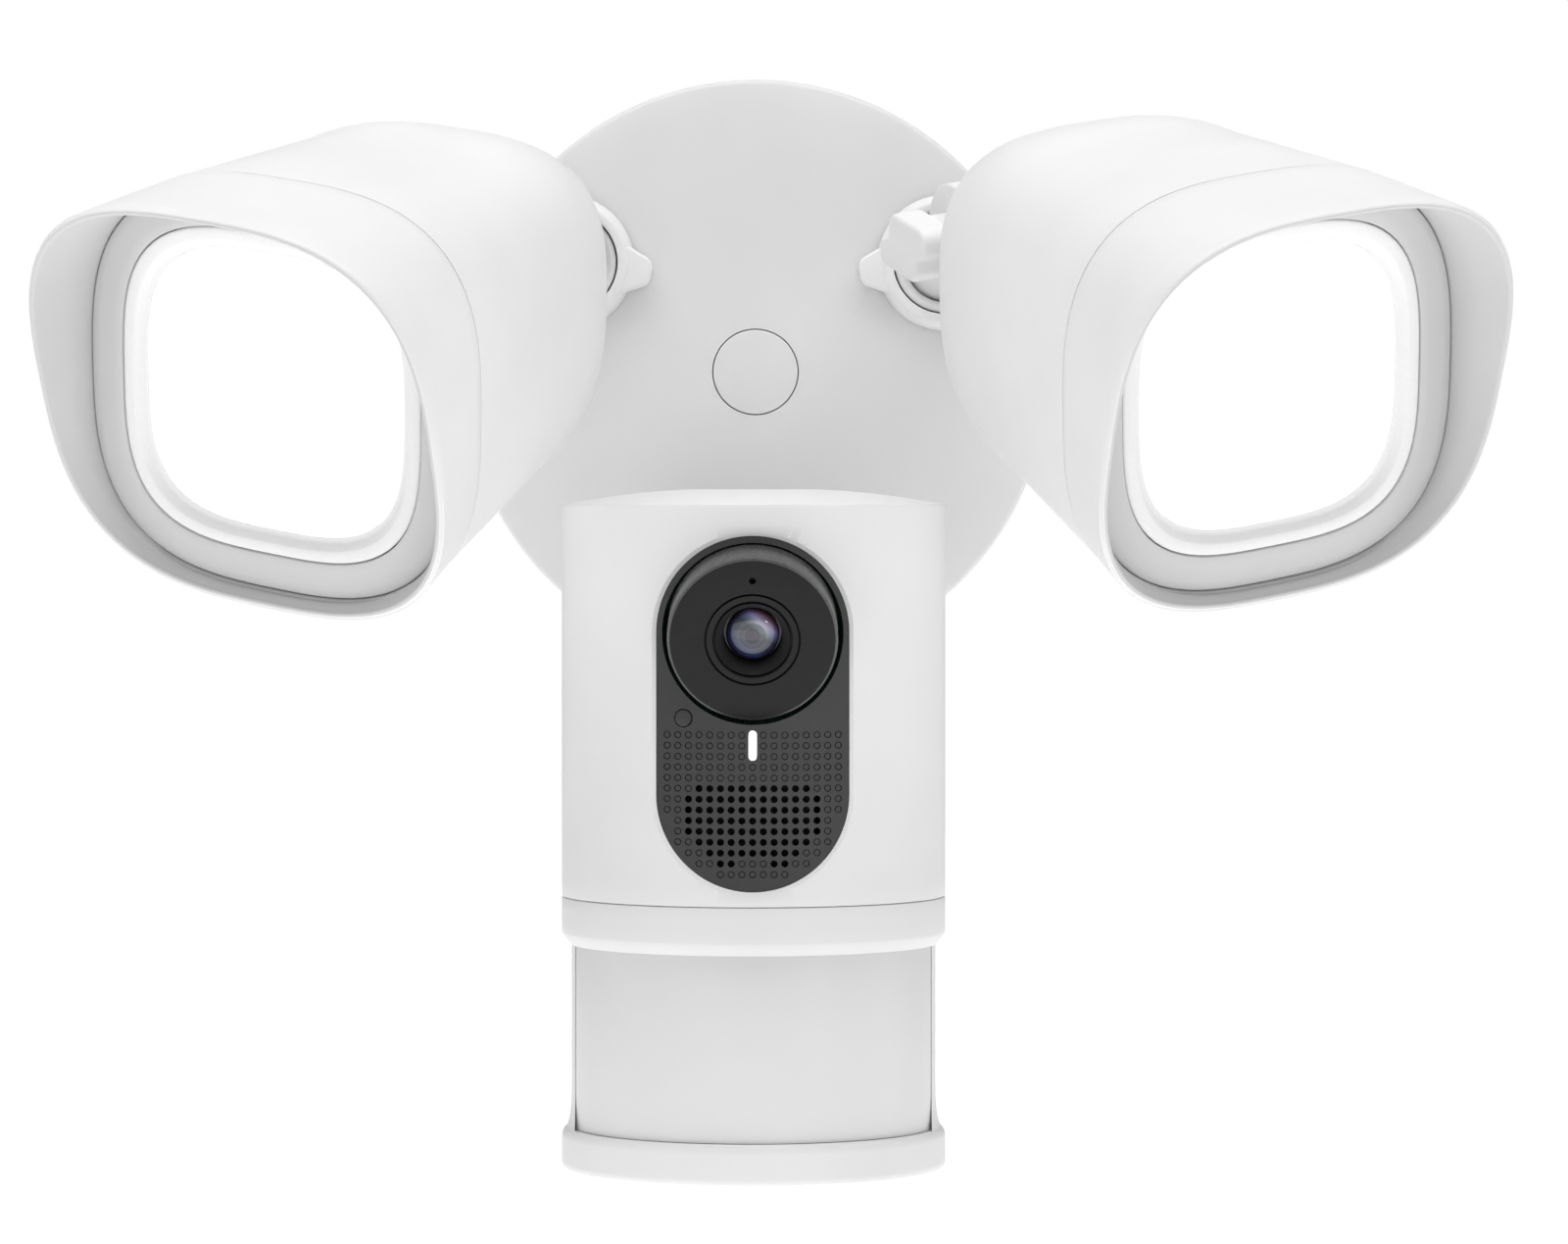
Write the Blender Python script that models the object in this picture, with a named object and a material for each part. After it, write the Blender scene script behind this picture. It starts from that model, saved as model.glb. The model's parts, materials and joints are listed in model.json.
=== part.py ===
"""Floodlight security camera for a wall: a round base, two lamps and a camera, each on a ball arm.

The wall is the plane y = 0 and the device reaches out along -Y, with +Z up. Driving dimensions are in
millimetres; every mesh is scaled to metres as it is made. Each moving group hangs from an empty on its
joint's axis.
"""

import math

import bmesh
import bpy
from mathutils import Matrix, Vector

MM = 0.001
GAP = 0.3

# Round base on the wall. Heights are measured out from the wall.
BASE_RADIUS = 64.0
BASE_EDGE_HEIGHT = 15.9
BASE_DOME_RISE = 3.6
BASE_WALL = 2.4
BASE_BEVEL = 1.5
GASKET_HEIGHT = 1.0
GASKET_INNER_RADIUS = 53.0
BRACKET_LENGTH = 100.0
BRACKET_WIDTH = 22.0
BRACKET_THICKNESS = 2.0
BOX_SCREW_SPACING = 88.9
SLOT_START = 33.0
SLOT_END = 46.5
SLOT_HALF_WIDTH = 2.4
WIRE_HOLE_RADIUS = 20.0
CAP_RADIUS = 9.2
BOLT_RADIUS = 2.9

# Three sockets, evenly spaced on one circle around the middle of the base.
SOCKET_CIRCLE_RADIUS = 47.5
SOCKET_ANGLES = {"right": 30.0, "left": 150.0, "camera": 270.0}
SOCKET_HOLE_RADIUS = 11.2
BALL_HEIGHT = 14.0
BALL_RADIUS = 9.0
RING_RADIUS = 14.8
RING_TAB_RADIUS = 18.7
RING_TAB_DIRECTIONS = {"right": 187.0, "left": -7.0, "camera": 90.0}

# Knuckle at the far end of each stem. Its axis is local X, and the knob is on the -X side.
SHAFT_RADIUS = 4.8
STEM_LENGTH = 27.5
TONGUE_RADIUS = 8.6
EAR_RADIUS = 12.0
EAR_INNER = 4.6
EAR_OUTER = 9.0
PIN_RADIUS = 2.0
KNOB_INNER = 13.8
KNOB_OUTER = 21.0
KNOB_HALF_LENGTH = 11.4
KNOB_HALF_HEIGHT = 6.5
KNOB_STEP = 4.8

# Lamps. Local Z points out of the lamp, with zero at the front of the bezel.
LAMP_YAW = 25.0
LAMP_PITCH = 18.6
LAMP_ROLL = 10.5
LAMP_BEND = 29.9
LAMP_HINGE_DISTANCE = 114.5
LAMP_HINGE_OFFSET = -4.4
SEAM_LEVEL = -7.9
SEAM_HALF = 41.4
LAMP_EXPONENT = 2.92
BACK_TAPER = 0.096
DOME_START = -58.0
DOME_DEPTH = 49.0
LAMP_WALL = 2.2
VISOR_INNER_HALF = 40.1
VISOR_FLARE = 0.08
RIM_LEVEL = 13.7
RIM_SLOPE = 0.275
DIFFUSER_HALF = 32.4
DIFFUSER_EXPONENT = 3.26

# Camera head: an elliptical cylinder. Levels are world Z.
HEAD_CENTRE_Y = -80.0
HEAD_HALF_WIDTH = 39.1
HEAD_HALF_DEPTH = 29.7
HEAD_TOP = -28.7
HEAD_TOP_RISE = 3.0
HEAD_SEAM = -108.5
COLLAR_BOTTOM = -115.9
COLLAR_CHAMFER = 2.0
WAIST_TOP = -118.3
FOOT_TOP = -155.5
FOOT_BOTTOM = -163.7
HEAD_WALL = 2.2
HEAD_HINGE_LEVEL = -36.8
HEAD_EAR_INNER = 9.0
HEAD_EAR_OUTER = 14.5
HEAD_EAR_RADIUS = 10.6
HEAD_KNOB_OFFSET = -5.6

# Dark face panel: a stadium, flush with the curved front.
PANEL_HALF_WIDTH = 19.1
PANEL_TOP = -35.1
PANEL_BOTTOM = -105.4
PANEL_RECESS = 0.5
PANEL_THICKNESS = 2.4
LENS_LEVEL = -55.5
TURRET_RADIUS = 16.85
TURRET_TILT = 17.0
TURRET_PROUD = 3.6
TURRET_POCKET_RADIUS = 18.0
TURRET_POCKET_LEVEL = -54.4
GRILLE_PITCH = 2.12
GRILLE_HOLE_RADIUS = 0.72
GRILLE_FIRST_ROW = -74.4
SENSOR_PLACE = (-13.7, -71.1)
SENSOR_RADIUS = 1.65
STATUS_LIGHT_WIDTH = 1.55
STATUS_LIGHT_TOP = -73.6
STATUS_LIGHT_BOTTOM = -79.4
# Open holes of the speaker grille: row number to the half-count of columns either side of the middle.
GRILLE_OPEN_ROWS = {6: 5, 7: 6, 8: 6, 9: 6, 10: 6, 11: 5, 12: 4}
GRILLE_LAST_ROW = 13
GRILLE_LAST_ROW_COLUMNS = (-3, -2, 2, 3)

CIRCLE_POINTS = 20
LAMP_POINTS = 24
HEAD_POINTS = 32
BASE_POINTS = 40


# ---------------------------------------------------------------------------------------------
# Building blocks
# ---------------------------------------------------------------------------------------------

def make_material(name, colour, roughness, metallic=0.0):
    material = bpy.data.materials.new(name)
    material.use_nodes = True
    shader = material.node_tree.nodes["Principled BSDF"]
    shader.inputs["Base Color"].default_value = (*colour, 1.0)
    shader.inputs["Roughness"].default_value = roughness
    shader.inputs["Metallic"].default_value = metallic
    material.diffuse_color = (*colour, 1.0)
    return material


def loft(rings, closed=False):
    """A mesh through rings of points. Open lofts get a cap at each end; closed ones join up."""
    mesh = bmesh.new()
    rows = [[mesh.verts.new(point) for point in ring] for ring in rings]
    pairs = list(zip(rows, rows[1:]))
    if closed:
        pairs.append((rows[-1], rows[0]))
    for lower, upper in pairs:
        count = len(lower)
        for i in range(count):
            j = (i + 1) % count
            mesh.faces.new((lower[i], lower[j], upper[j], upper[i]))
    if not closed:
        mesh.faces.new(rows[0])
        mesh.faces.new(rows[-1])
    return mesh


def circle(radius, level, count=CIRCLE_POINTS, centre=(0.0, 0.0)):
    turns = [2 * math.pi * i / count for i in range(count)]
    return [Vector((centre[0] + radius * math.cos(t), centre[1] + radius * math.sin(t), level)) for t in turns]


def rounded_square(half, exponent, level, slope=0.0, count=LAMP_POINTS):
    """A superellipse. With a slope the ring lies on a plane tilted about X."""
    points = []
    for i in range(count):
        turn = 2 * math.pi * (i + 0.5) / count
        radius = half / (abs(math.cos(turn)) ** exponent + abs(math.sin(turn)) ** exponent) ** (1 / exponent)
        x = radius * math.cos(turn)
        y = radius * math.sin(turn)
        points.append(Vector((x, y, level + slope * y)))
    return points


def ellipse(inset, level, count=HEAD_POINTS):
    """A plan outline of the camera head, moved in by inset. Level is world Z."""
    width = HEAD_HALF_WIDTH - inset
    depth = HEAD_HALF_DEPTH - inset
    turns = [2 * math.pi * i / count for i in range(count)]
    return [Vector((width * math.cos(t), HEAD_CENTRE_Y + depth * math.sin(t), level)) for t in turns]


def lathe(profile, closed=False, count=CIRCLE_POINTS):
    """A turned solid about Z through (radius, level) pairs."""
    return loft([circle(radius, level, count) for radius, level in profile], closed)


def rounded_outline(corners, steps=2):
    """A flat outline from (x, y, radius) corners, with an arc at each corner."""
    points = []
    count = len(corners)
    for i, (x, y, radius) in enumerate(corners):
        corner = Vector((x, y))
        before = (Vector(corners[i - 1][:2]) - corner).normalized()
        after = (Vector(corners[(i + 1) % count][:2]) - corner).normalized()
        half_angle = before.angle(after) / 2
        centre = corner + (before + after).normalized() * radius / math.sin(half_angle)
        start = corner + before * radius / math.tan(half_angle) - centre
        turn = math.pi - 2 * half_angle
        if before.x * after.y - before.y * after.x > 0:
            turn = -turn
        for step in range(steps + 1):
            points.append(centre + Matrix.Rotation(turn * step / steps, 2) @ start)
    return points


def stadium(half_width, top, bottom, steps=12):
    """An upright stadium outline in (x, z)."""
    points = []
    for centre, start in ((top - half_width, 0.0), (bottom + half_width, math.pi)):
        for step in range(steps + 1):
            turn = start + math.pi * step / steps
            points.append((half_width * math.cos(turn), centre + half_width * math.sin(turn)))
    return points


def prism(outline, low, high, axis="Z"):
    """An outline swept from low to high along an axis. Outline pairs follow the two other axes in order."""
    rings = []
    for level in (low, high):
        if axis == "Z":
            rings.append([Vector((a, b, level)) for a, b in outline])
        elif axis == "Y":
            rings.append([Vector((a, level, b)) for a, b in outline])
        else:
            rings.append([Vector((level, a, b)) for a, b in outline])
    return loft(rings)


def block(low, high):
    (x0, y0, z0), (x1, y1, z1) = low, high
    return prism([(x0, y0), (x1, y0), (x1, y1), (x0, y1)], z0, z1)


def tube_along(start, end, radius, count=24):
    """A solid cylinder between two points."""
    start = Vector(start)
    end = Vector(end)
    turn = (end - start).to_track_quat("Z", "Y").to_matrix().to_4x4()
    mesh = loft([circle(radius, 0.0, count), circle(radius, (end - start).length, count)])
    bmesh.ops.transform(mesh, matrix=Matrix.Translation(start) @ turn, verts=mesh.verts)
    return mesh


def join(meshes):
    """Several closed meshes in one, for a cutter with separate tools."""
    whole = bmesh.new()
    for mesh in meshes:
        made = bpy.data.meshes.new("tool")
        outward(mesh)
        mesh.to_mesh(made)
        mesh.free()
        whole.from_mesh(made)
        bpy.data.meshes.remove(made)
    return whole


def outward(mesh):
    bmesh.ops.recalc_face_normals(mesh, faces=mesh.faces)
    if mesh.calc_volume(signed=True) < 0:
        bmesh.ops.reverse_faces(mesh, faces=mesh.faces)


def add(name, mesh, material, parent=None, offset=(0.0, 0.0, 0.0), smooth=True):
    """Turns a mesh in millimetres into a named object, placed under an empty."""
    bmesh.ops.remove_doubles(mesh, verts=mesh.verts, dist=0.0001)
    outward(mesh)
    bmesh.ops.scale(mesh, vec=(MM, MM, MM), verts=mesh.verts)
    data = bpy.data.meshes.new(name)
    mesh.to_mesh(data)
    mesh.free()
    if material:
        data.materials.append(material)
    if smooth:
        data.shade_smooth()
        data.set_sharp_from_angle(angle=math.radians(35))
    thing = bpy.data.objects.new(name, data)
    bpy.context.scene.collection.objects.link(thing)
    thing.parent = parent
    thing.location = Vector(offset) * MM
    return thing


def boolean(thing, operation, mesh, parent=None, offset=(0.0, 0.0, 0.0)):
    """Cuts or joins a hidden tool, given in the same axes as the thing."""
    tool = add(f"tool_{thing.name}_{len(thing.modifiers)}", mesh, None, parent, offset, smooth=False)
    tool.hide_render = True
    tool.display_type = "WIRE"
    modifier = thing.modifiers.new(operation.lower(), "BOOLEAN")
    modifier.operation = operation
    modifier.solver = "EXACT"
    modifier.object = tool


def add_empty(name, placement, parent=None):
    """An empty at a placement given under its parent, in millimetres."""
    empty = bpy.data.objects.new(name, None)
    bpy.context.scene.collection.objects.link(empty)
    empty.empty_display_size = 0.01
    empty.parent = parent
    scaled = placement.copy()
    scaled.translation = placement.translation * MM
    empty.matrix_basis = scaled
    return empty


def turn_about(axis, degrees):
    return Matrix.Rotation(math.radians(degrees), 4, axis)


# ---------------------------------------------------------------------------------------------
# Base on the wall. Its own axes: X right, Y up the wall, Z out from the wall.
# ---------------------------------------------------------------------------------------------

def dome_level(radius):
    """Height of the base's front face above the wall."""
    return BASE_EDGE_HEIGHT + BASE_DOME_RISE * (1 - (radius / BASE_RADIUS) ** 2)


def socket_centre(arm):
    turn = math.radians(SOCKET_ANGLES[arm])
    return Vector((SOCKET_CIRCLE_RADIUS * math.cos(turn), SOCKET_CIRCLE_RADIUS * math.sin(turn), BALL_HEIGHT))


def add_base_housing(frame, plastic):
    rim = GASKET_HEIGHT + GAP
    inner = BASE_RADIUS - BASE_WALL
    ceiling = [(r, dome_level(r) - BASE_WALL) for r in (4.0, 36.0, inner - 2.0)]
    wall = [(inner, dome_level(inner) - BASE_WALL - 2.0), (inner, rim), (BASE_RADIUS, rim)]
    shoulder = [
        (BASE_RADIUS, dome_level(BASE_RADIUS) - BASE_BEVEL),
        (BASE_RADIUS - 0.3 * BASE_BEVEL, dome_level(BASE_RADIUS) - 0.3 * BASE_BEVEL),
        (BASE_RADIUS - BASE_BEVEL, dome_level(BASE_RADIUS - BASE_BEVEL)),
    ]
    face = [(r, dome_level(r)) for r in (46.0, 26.0, 4.0)]
    housing = add("base_housing", lathe(ceiling + wall + shoulder + face, count=BASE_POINTS), plastic, frame)
    boss_floor = dome_level(0.0) - 4.8
    boss = lathe([(CAP_RADIUS + 2.2, boss_floor - 2.0), (CAP_RADIUS + 2.2, dome_level(0.0) - 1.0)])
    boolean(housing, "UNION", boss, frame)
    pocket = lathe([(CAP_RADIUS + GAP, boss_floor), (CAP_RADIUS + GAP, 30.0)])
    boolean(housing, "DIFFERENCE", pocket, frame)
    holes = [tube_along((0, 0, 0), (0, 0, 30), BOLT_RADIUS + GAP)]
    for arm in SOCKET_ANGLES:
        x, y, _ = socket_centre(arm)
        holes.append(tube_along((x, y, 0), (x, y, 30), SOCKET_HOLE_RADIUS, CIRCLE_POINTS))
    boolean(housing, "DIFFERENCE", join(holes), frame)
    return boss_floor


def add_bracket(frame, steel, screw_steel):
    half = BRACKET_LENGTH / 2
    width = BRACKET_WIDTH / 2
    corners = [(-half, -width, 6.0), (half, -width, 6.0), (half, width, 6.0), (-half, width, 6.0)]
    low = 0.2
    high = low + BRACKET_THICKNESS
    bracket = add("mounting_bracket", prism(rounded_outline(corners), low, high), steel, frame)
    cuts = [tube_along((0, 0, -2), (0, 0, 4), BOLT_RADIUS + GAP)]
    for side in (-1, 1):
        near = min(side * SLOT_START, side * SLOT_END) - SLOT_HALF_WIDTH
        far = max(side * SLOT_START, side * SLOT_END) + SLOT_HALF_WIDTH
        corner = SLOT_HALF_WIDTH - 0.1
        low_edge = -SLOT_HALF_WIDTH
        slot = [(near, low_edge, corner), (far, low_edge, corner)]
        slot += [(far, SLOT_HALF_WIDTH, corner), (near, SLOT_HALF_WIDTH, corner)]
        cuts.append(prism(rounded_outline(slot), -2, 4))
    boolean(bracket, "DIFFERENCE", join(cuts), frame)
    for side, label in ((-1, "left"), (1, "right")):
        profile = [(1.9, low + 0.2), (1.9, high + GAP), (4.0, high + GAP), (4.0, high + 1.4), (2.6, high + 2.3)]
        place = (side * BOX_SCREW_SPACING / 2, 0.0, 0.0)
        add(f"bracket_screw_{label}", lathe(profile, count=12), screw_steel, frame, place)


def add_base(frame, looks):
    boss_floor = add_base_housing(frame, looks["base"])
    ring = [
        (GASKET_INNER_RADIUS, 0.0),
        (BASE_RADIUS - 1.0, 0.0),
        (BASE_RADIUS - 1.0, GASKET_HEIGHT),
        (GASKET_INNER_RADIUS, GASKET_HEIGHT),
    ]
    add("wall_gasket", lathe(ring, closed=True, count=30), looks["rubber"], frame)
    add_bracket(frame, looks["steel"], looks["steel"])
    inner = BASE_RADIUS - BASE_WALL - GAP
    cover = [(WIRE_HOLE_RADIUS, 3.2), (inner, 3.2), (inner, 4.7), (WIRE_HOLE_RADIUS, 4.7)]
    back = add("base_back_cover", lathe(cover, closed=True, count=30), looks["dark_plastic"], frame)
    reach = BOX_SCREW_SPACING / 2
    screw_holes = [tube_along((side * reach, 0, 0), (side * reach, 0, 9), 5.0, 12) for side in (-1, 1)]
    boolean(back, "DIFFERENCE", join(screw_holes), frame)
    head = boss_floor + GAP
    bolt = [(BOLT_RADIUS, 0.5), (BOLT_RADIUS, head), (6.0, head), (6.0, head + 1.7), (4.6, head + 2.4)]
    add("centre_bolt", lathe(bolt, count=16), looks["steel"], frame)
    cap = [
        (CAP_RADIUS - 1.3, boss_floor + GAP),
        (CAP_RADIUS, boss_floor + GAP),
        (CAP_RADIUS, dome_level(0.0) - 0.35),
        (CAP_RADIUS - 0.35, dome_level(0.0)),
        (2.0, dome_level(0.0)),
    ]
    cap_roof = dome_level(0.0) - 1.2
    cap = [(2.0, cap_roof), (CAP_RADIUS - 1.3, cap_roof)] + cap
    add("bolt_cap", lathe(cap), looks["base"], frame)
    add("driver_board", block((-22.0, 17.5, 8.0), (22.0, 52.0, 9.6)), looks["board"], frame)
    add("driver_transformer", block((-9.0, 26.0, 9.9), (9.0, 42.0, 14.6)), looks["dark_plastic"], frame)
    terminal = block((-46.0, -26.0, 7.4), (-26.0, -14.0, 13.4))
    add("terminal_block", terminal, looks["dark_plastic"], frame)


# ---------------------------------------------------------------------------------------------
# Ball arm: seat, lock ring, stem with its ball and tongue
# ---------------------------------------------------------------------------------------------

def add_ball_seat(arm, frame, plastic):
    """A collar around the ball, with a conical mouth that lets the stem lean."""
    outer = SOCKET_HOLE_RADIUS - GAP
    hollow = BALL_RADIUS + 2 * GAP
    profile = [(8.8, -4.4), (outer + 2.0, -4.4), (outer + 2.0, -2.2), (outer, -2.2), (outer, 8.0), (10.2, 8.3)]
    profile.append((9.9, 7.8))
    for turn in (30.0, 8.0, -14.0):
        angle = math.radians(turn)
        profile.append((hollow * math.cos(angle), hollow * math.sin(angle)))
    add(f"ball_seat_{arm}", lathe(profile, closed=True), plastic, frame)


def add_lock_ring(arm, frame, plastic):
    """A threaded ring with one wing tab, lying over the front of the base."""
    low = dome_level(SOCKET_CIRCLE_RADIUS) - BALL_HEIGHT + 1.2
    profile = [
        (SOCKET_HOLE_RADIUS, low),
        (RING_RADIUS, low),
        (RING_RADIUS - 0.5, low + 3.6),
        (RING_RADIUS - 1.6, low + 4.9),
        (SOCKET_HOLE_RADIUS + 0.4, low + 5.1),
        (SOCKET_HOLE_RADIUS, low + 4.6),
    ]
    ring = add(f"lock_ring_{arm}", lathe(profile, closed=True, count=24), plastic, frame)
    tab_outline = [
        (12.5, -5.2, 1.0),
        (RING_TAB_RADIUS, -2.8, 2.4),
        (RING_TAB_RADIUS, 2.8, 2.4),
        (12.5, 5.2, 1.0),
    ]
    tab = prism(rounded_outline(tab_outline), low + 0.2, low + 4.2)
    direction = turn_about("Z", RING_TAB_DIRECTIONS[arm])
    bmesh.ops.transform(tab, matrix=direction, verts=tab.verts)
    boolean(ring, "UNION", tab, frame)
    return ring


def add_stem(arm, frame, plastic, tongue_half, tongue_radius, ear_radius):
    """Ball at the origin, shaft along Z, and a flat tongue around the hinge at the far end."""
    shaft_end = STEM_LENGTH - ear_radius - 2.0
    profile = []
    for turn in (-68.0, -36.0, -6.0, 24.0, 52.0):
        angle = math.radians(turn)
        profile.append((BALL_RADIUS * math.cos(angle), BALL_RADIUS * math.sin(angle)))
    profile += [(SHAFT_RADIUS, BALL_RADIUS * 0.9), (SHAFT_RADIUS, shaft_end - 2.5)]
    profile += [(SHAFT_RADIUS + 1.2, shaft_end), (SHAFT_RADIUS + 1.2, shaft_end + 1.5)]
    stem = add(f"ball_stem_{arm}", lathe(profile, count=16), plastic, frame)
    tip = 10
    outline = [(-tongue_radius, shaft_end + 0.6 - STEM_LENGTH), (tongue_radius, shaft_end + 0.6 - STEM_LENGTH)]
    for step in range(tip + 1):
        turn = math.pi * step / tip
        outline.append((tongue_radius * math.cos(turn), tongue_radius * math.sin(turn)))
    outline = [(y, z + STEM_LENGTH) for y, z in outline]
    tongue = prism(outline, -tongue_half, tongue_half, axis="X")
    boolean(stem, "UNION", tongue, frame)
    hole = tube_along((-20, 0, STEM_LENGTH), (20, 0, STEM_LENGTH), PIN_RADIUS + GAP, 16)
    boolean(stem, "DIFFERENCE", hole, frame)


def add_knuckle_bolt(arm, frame, steel, ear_outer, knob_shift):
    head = tube_along((ear_outer + GAP, 0, 0), (ear_outer + 2.6, 0, 0), 4.2, 6)
    shank = tube_along((knob_shift - KNOB_OUTER + 2.6, 0, 0), (ear_outer + 1.5, 0, 0), PIN_RADIUS, 16)
    bolt = add(f"knuckle_bolt_{arm}", head, steel, frame)
    boolean(bolt, "UNION", shank, frame)


def add_knob(arm, frame, plastic, ear_outer, knob_shift, turn):
    """A stepped two-lobe wing knob on a round boss. Its outline is the same turned half way round."""
    step = KNOB_HALF_LENGTH - KNOB_STEP
    half = [
        (KNOB_HALF_LENGTH, KNOB_HALF_HEIGHT, 3.0),
        (KNOB_HALF_LENGTH, 0.9, 2.2),
        (step, -0.9, 1.2),
        (step, -KNOB_HALF_HEIGHT, 3.0),
    ]
    corners = half + [(-x, -y, radius) for x, y, radius in half]
    outline = [turn_about("Z", turn).to_2x2() @ point for point in rounded_outline(corners)]
    low = knob_shift - KNOB_OUTER
    wing_start = knob_shift - KNOB_INNER
    edge = 0.7
    rings = []
    for level, scale in ((low, 0.93), (low + edge, 1.0), (wing_start - edge, 1.0), (wing_start, 0.93)):
        rings.append([Vector((level, y * scale, z * scale)) for z, y in outline])
    knob = add(f"wing_knob_{arm}", loft(rings), plastic, frame)
    boss = tube_along((wing_start - 1.5, 0, 0), (-ear_outer - GAP, 0, 0), 5.9, 24)
    boolean(knob, "UNION", boss, frame)
    hole = tube_along((knob_shift - KNOB_OUTER + 2.2, 0, 0), (0, 0, 0), PIN_RADIUS + GAP, 16)
    boolean(knob, "DIFFERENCE", hole, frame)


def ear_outline(radius, reach):
    """A round-ended ear around the hinge, in (y, z), reaching forward along +Z."""
    steps = 12
    outline = []
    for step in range(steps + 1):
        turn = math.pi + math.pi * step / steps
        outline.append((radius * math.cos(turn), radius * math.sin(turn)))
    return outline + [(radius, reach), (-radius, reach)]


# ---------------------------------------------------------------------------------------------
# Lamp, in its own axes: X across, Y up, Z out of the lamp
# ---------------------------------------------------------------------------------------------

def body_half(level):
    return SEAM_HALF - BACK_TAPER * (SEAM_LEVEL - level)


def add_lamp_housing(arm, frame, offset, plastic):
    start = SEAM_LEVEL - GAP / 2
    inner_rings = []
    floor_depth = DOME_DEPTH - 14.0
    inner_start = body_half(DOME_START) - LAMP_WALL
    for turn in (78.0, 40.0):
        angle = math.radians(turn)
        half = inner_start * math.cos(angle)
        inner_rings.append(rounded_square(half, LAMP_EXPONENT, DOME_START - floor_depth * math.sin(angle)))
    for level in (DOME_START, start):
        inner_rings.append(rounded_square(body_half(level) - LAMP_WALL, LAMP_EXPONENT, level))
    outer_rings = [rounded_square(body_half(start) - 0.3, LAMP_EXPONENT, start)]
    for level in (start - 0.4, DOME_START):
        outer_rings.append(rounded_square(body_half(level), LAMP_EXPONENT, level))
    outer_start = body_half(DOME_START)
    for turn in (15.0, 32.0, 49.0, 66.0, 80.0):
        angle = math.radians(turn)
        half = outer_start * math.cos(angle)
        outer_rings.append(rounded_square(half, LAMP_EXPONENT, DOME_START - DOME_DEPTH * math.sin(angle)))
    housing = add(f"lamp_housing_{arm}", loft(inner_rings + outer_rings), plastic, frame, offset)
    ears = [prism(ear_outline(EAR_RADIUS, 17.0), low, low + EAR_OUTER - EAR_INNER, axis="X")
            for low in (-EAR_OUTER, EAR_INNER)]
    boolean(housing, "UNION", join(ears), frame)
    slot = tube_along((-EAR_INNER, 0, 0), (EAR_INNER, 0, 0), TONGUE_RADIUS + 0.8, CIRCLE_POINTS)
    hole = tube_along((-20, 0, 0), (20, 0, 0), PIN_RADIUS + GAP, 16)
    boolean(housing, "DIFFERENCE", slot, frame)
    boolean(housing, "DIFFERENCE", hole, frame)
    cable = tube_along((0, 0, 8.0), (0, 0, 34.0), 3.0, 16)
    boolean(housing, "DIFFERENCE", cable, frame)


def add_visor(arm, frame, offset, plastic):
    """The hood: the same outline as the lamp, cut off on a plane that leans out at the top."""
    def outer_half(level):
        return SEAM_HALF + VISOR_FLARE * (level - SEAM_LEVEL)

    start = SEAM_LEVEL + GAP / 2
    rings = [rounded_square(SEAM_HALF - 0.3, LAMP_EXPONENT, start)]
    shares = (0.0, 0.5, 0.9)
    for share in shares:
        level = start + 0.4 + share * (RIM_LEVEL - start - 0.4)
        rings.append(rounded_square(outer_half(level), LAMP_EXPONENT, level, RIM_SLOPE * share))
    tip = outer_half(RIM_LEVEL)
    rings.append(rounded_square(tip - 0.15, LAMP_EXPONENT, RIM_LEVEL - 0.4, RIM_SLOPE))
    rings.append(rounded_square(tip - 0.7, LAMP_EXPONENT, RIM_LEVEL, RIM_SLOPE))
    rings.append(rounded_square(tip - 1.3, LAMP_EXPONENT, RIM_LEVEL - 0.5, RIM_SLOPE))
    rings.append(rounded_square(VISOR_INNER_HALF + 0.15, LAMP_EXPONENT, 5.4, RIM_SLOPE * 0.55))
    rings.append(rounded_square(VISOR_INNER_HALF, LAMP_EXPONENT, 0.0))
    rings.append(rounded_square(VISOR_INNER_HALF - 0.6, LAMP_EXPONENT, start))
    add(f"visor_{arm}", loft(rings, closed=True), plastic, frame, offset)


def add_bezel(arm, frame, offset, plastic):
    outer = VISOR_INNER_HALF - GAP
    inner = DIFFUSER_HALF + GAP
    rings = [
        rounded_square(outer - 0.6, LAMP_EXPONENT, SEAM_LEVEL + 1.2),
        rounded_square(outer, LAMP_EXPONENT, -1.2),
        rounded_square(outer - 0.4, LAMP_EXPONENT, -0.5),
        rounded_square(inner + 0.4, DIFFUSER_EXPONENT, -0.1),
        rounded_square(inner, DIFFUSER_EXPONENT, -0.5),
        rounded_square(inner, DIFFUSER_EXPONENT, SEAM_LEVEL + 1.2),
    ]
    add(f"bezel_{arm}", loft(rings, closed=True), plastic, frame, offset)


def add_diffuser(arm, frame, offset, plastic):
    """A frosted plate with a raised frame around the lit area."""
    rings = [
        rounded_square(DIFFUSER_HALF - 0.3, DIFFUSER_EXPONENT, SEAM_LEVEL + 1.2),
        rounded_square(DIFFUSER_HALF, DIFFUSER_EXPONENT, -0.8),
        rounded_square(DIFFUSER_HALF - 0.5, DIFFUSER_EXPONENT, -0.2),
        rounded_square(DIFFUSER_HALF - 2.3, DIFFUSER_EXPONENT, -0.2),
        rounded_square(DIFFUSER_HALF - 3.2, DIFFUSER_EXPONENT, -1.7),
        rounded_square(3.0, 2.0, -1.0),
    ]
    back = [
        rounded_square(3.0, 2.0, SEAM_LEVEL + 3.0),
        rounded_square(DIFFUSER_HALF - 3.2, DIFFUSER_EXPONENT, SEAM_LEVEL + 3.0),
        rounded_square(DIFFUSER_HALF - 3.2, DIFFUSER_EXPONENT, SEAM_LEVEL + 1.2),
    ]
    add(f"diffuser_{arm}", loft(back + rings), plastic, frame, offset)


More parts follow.
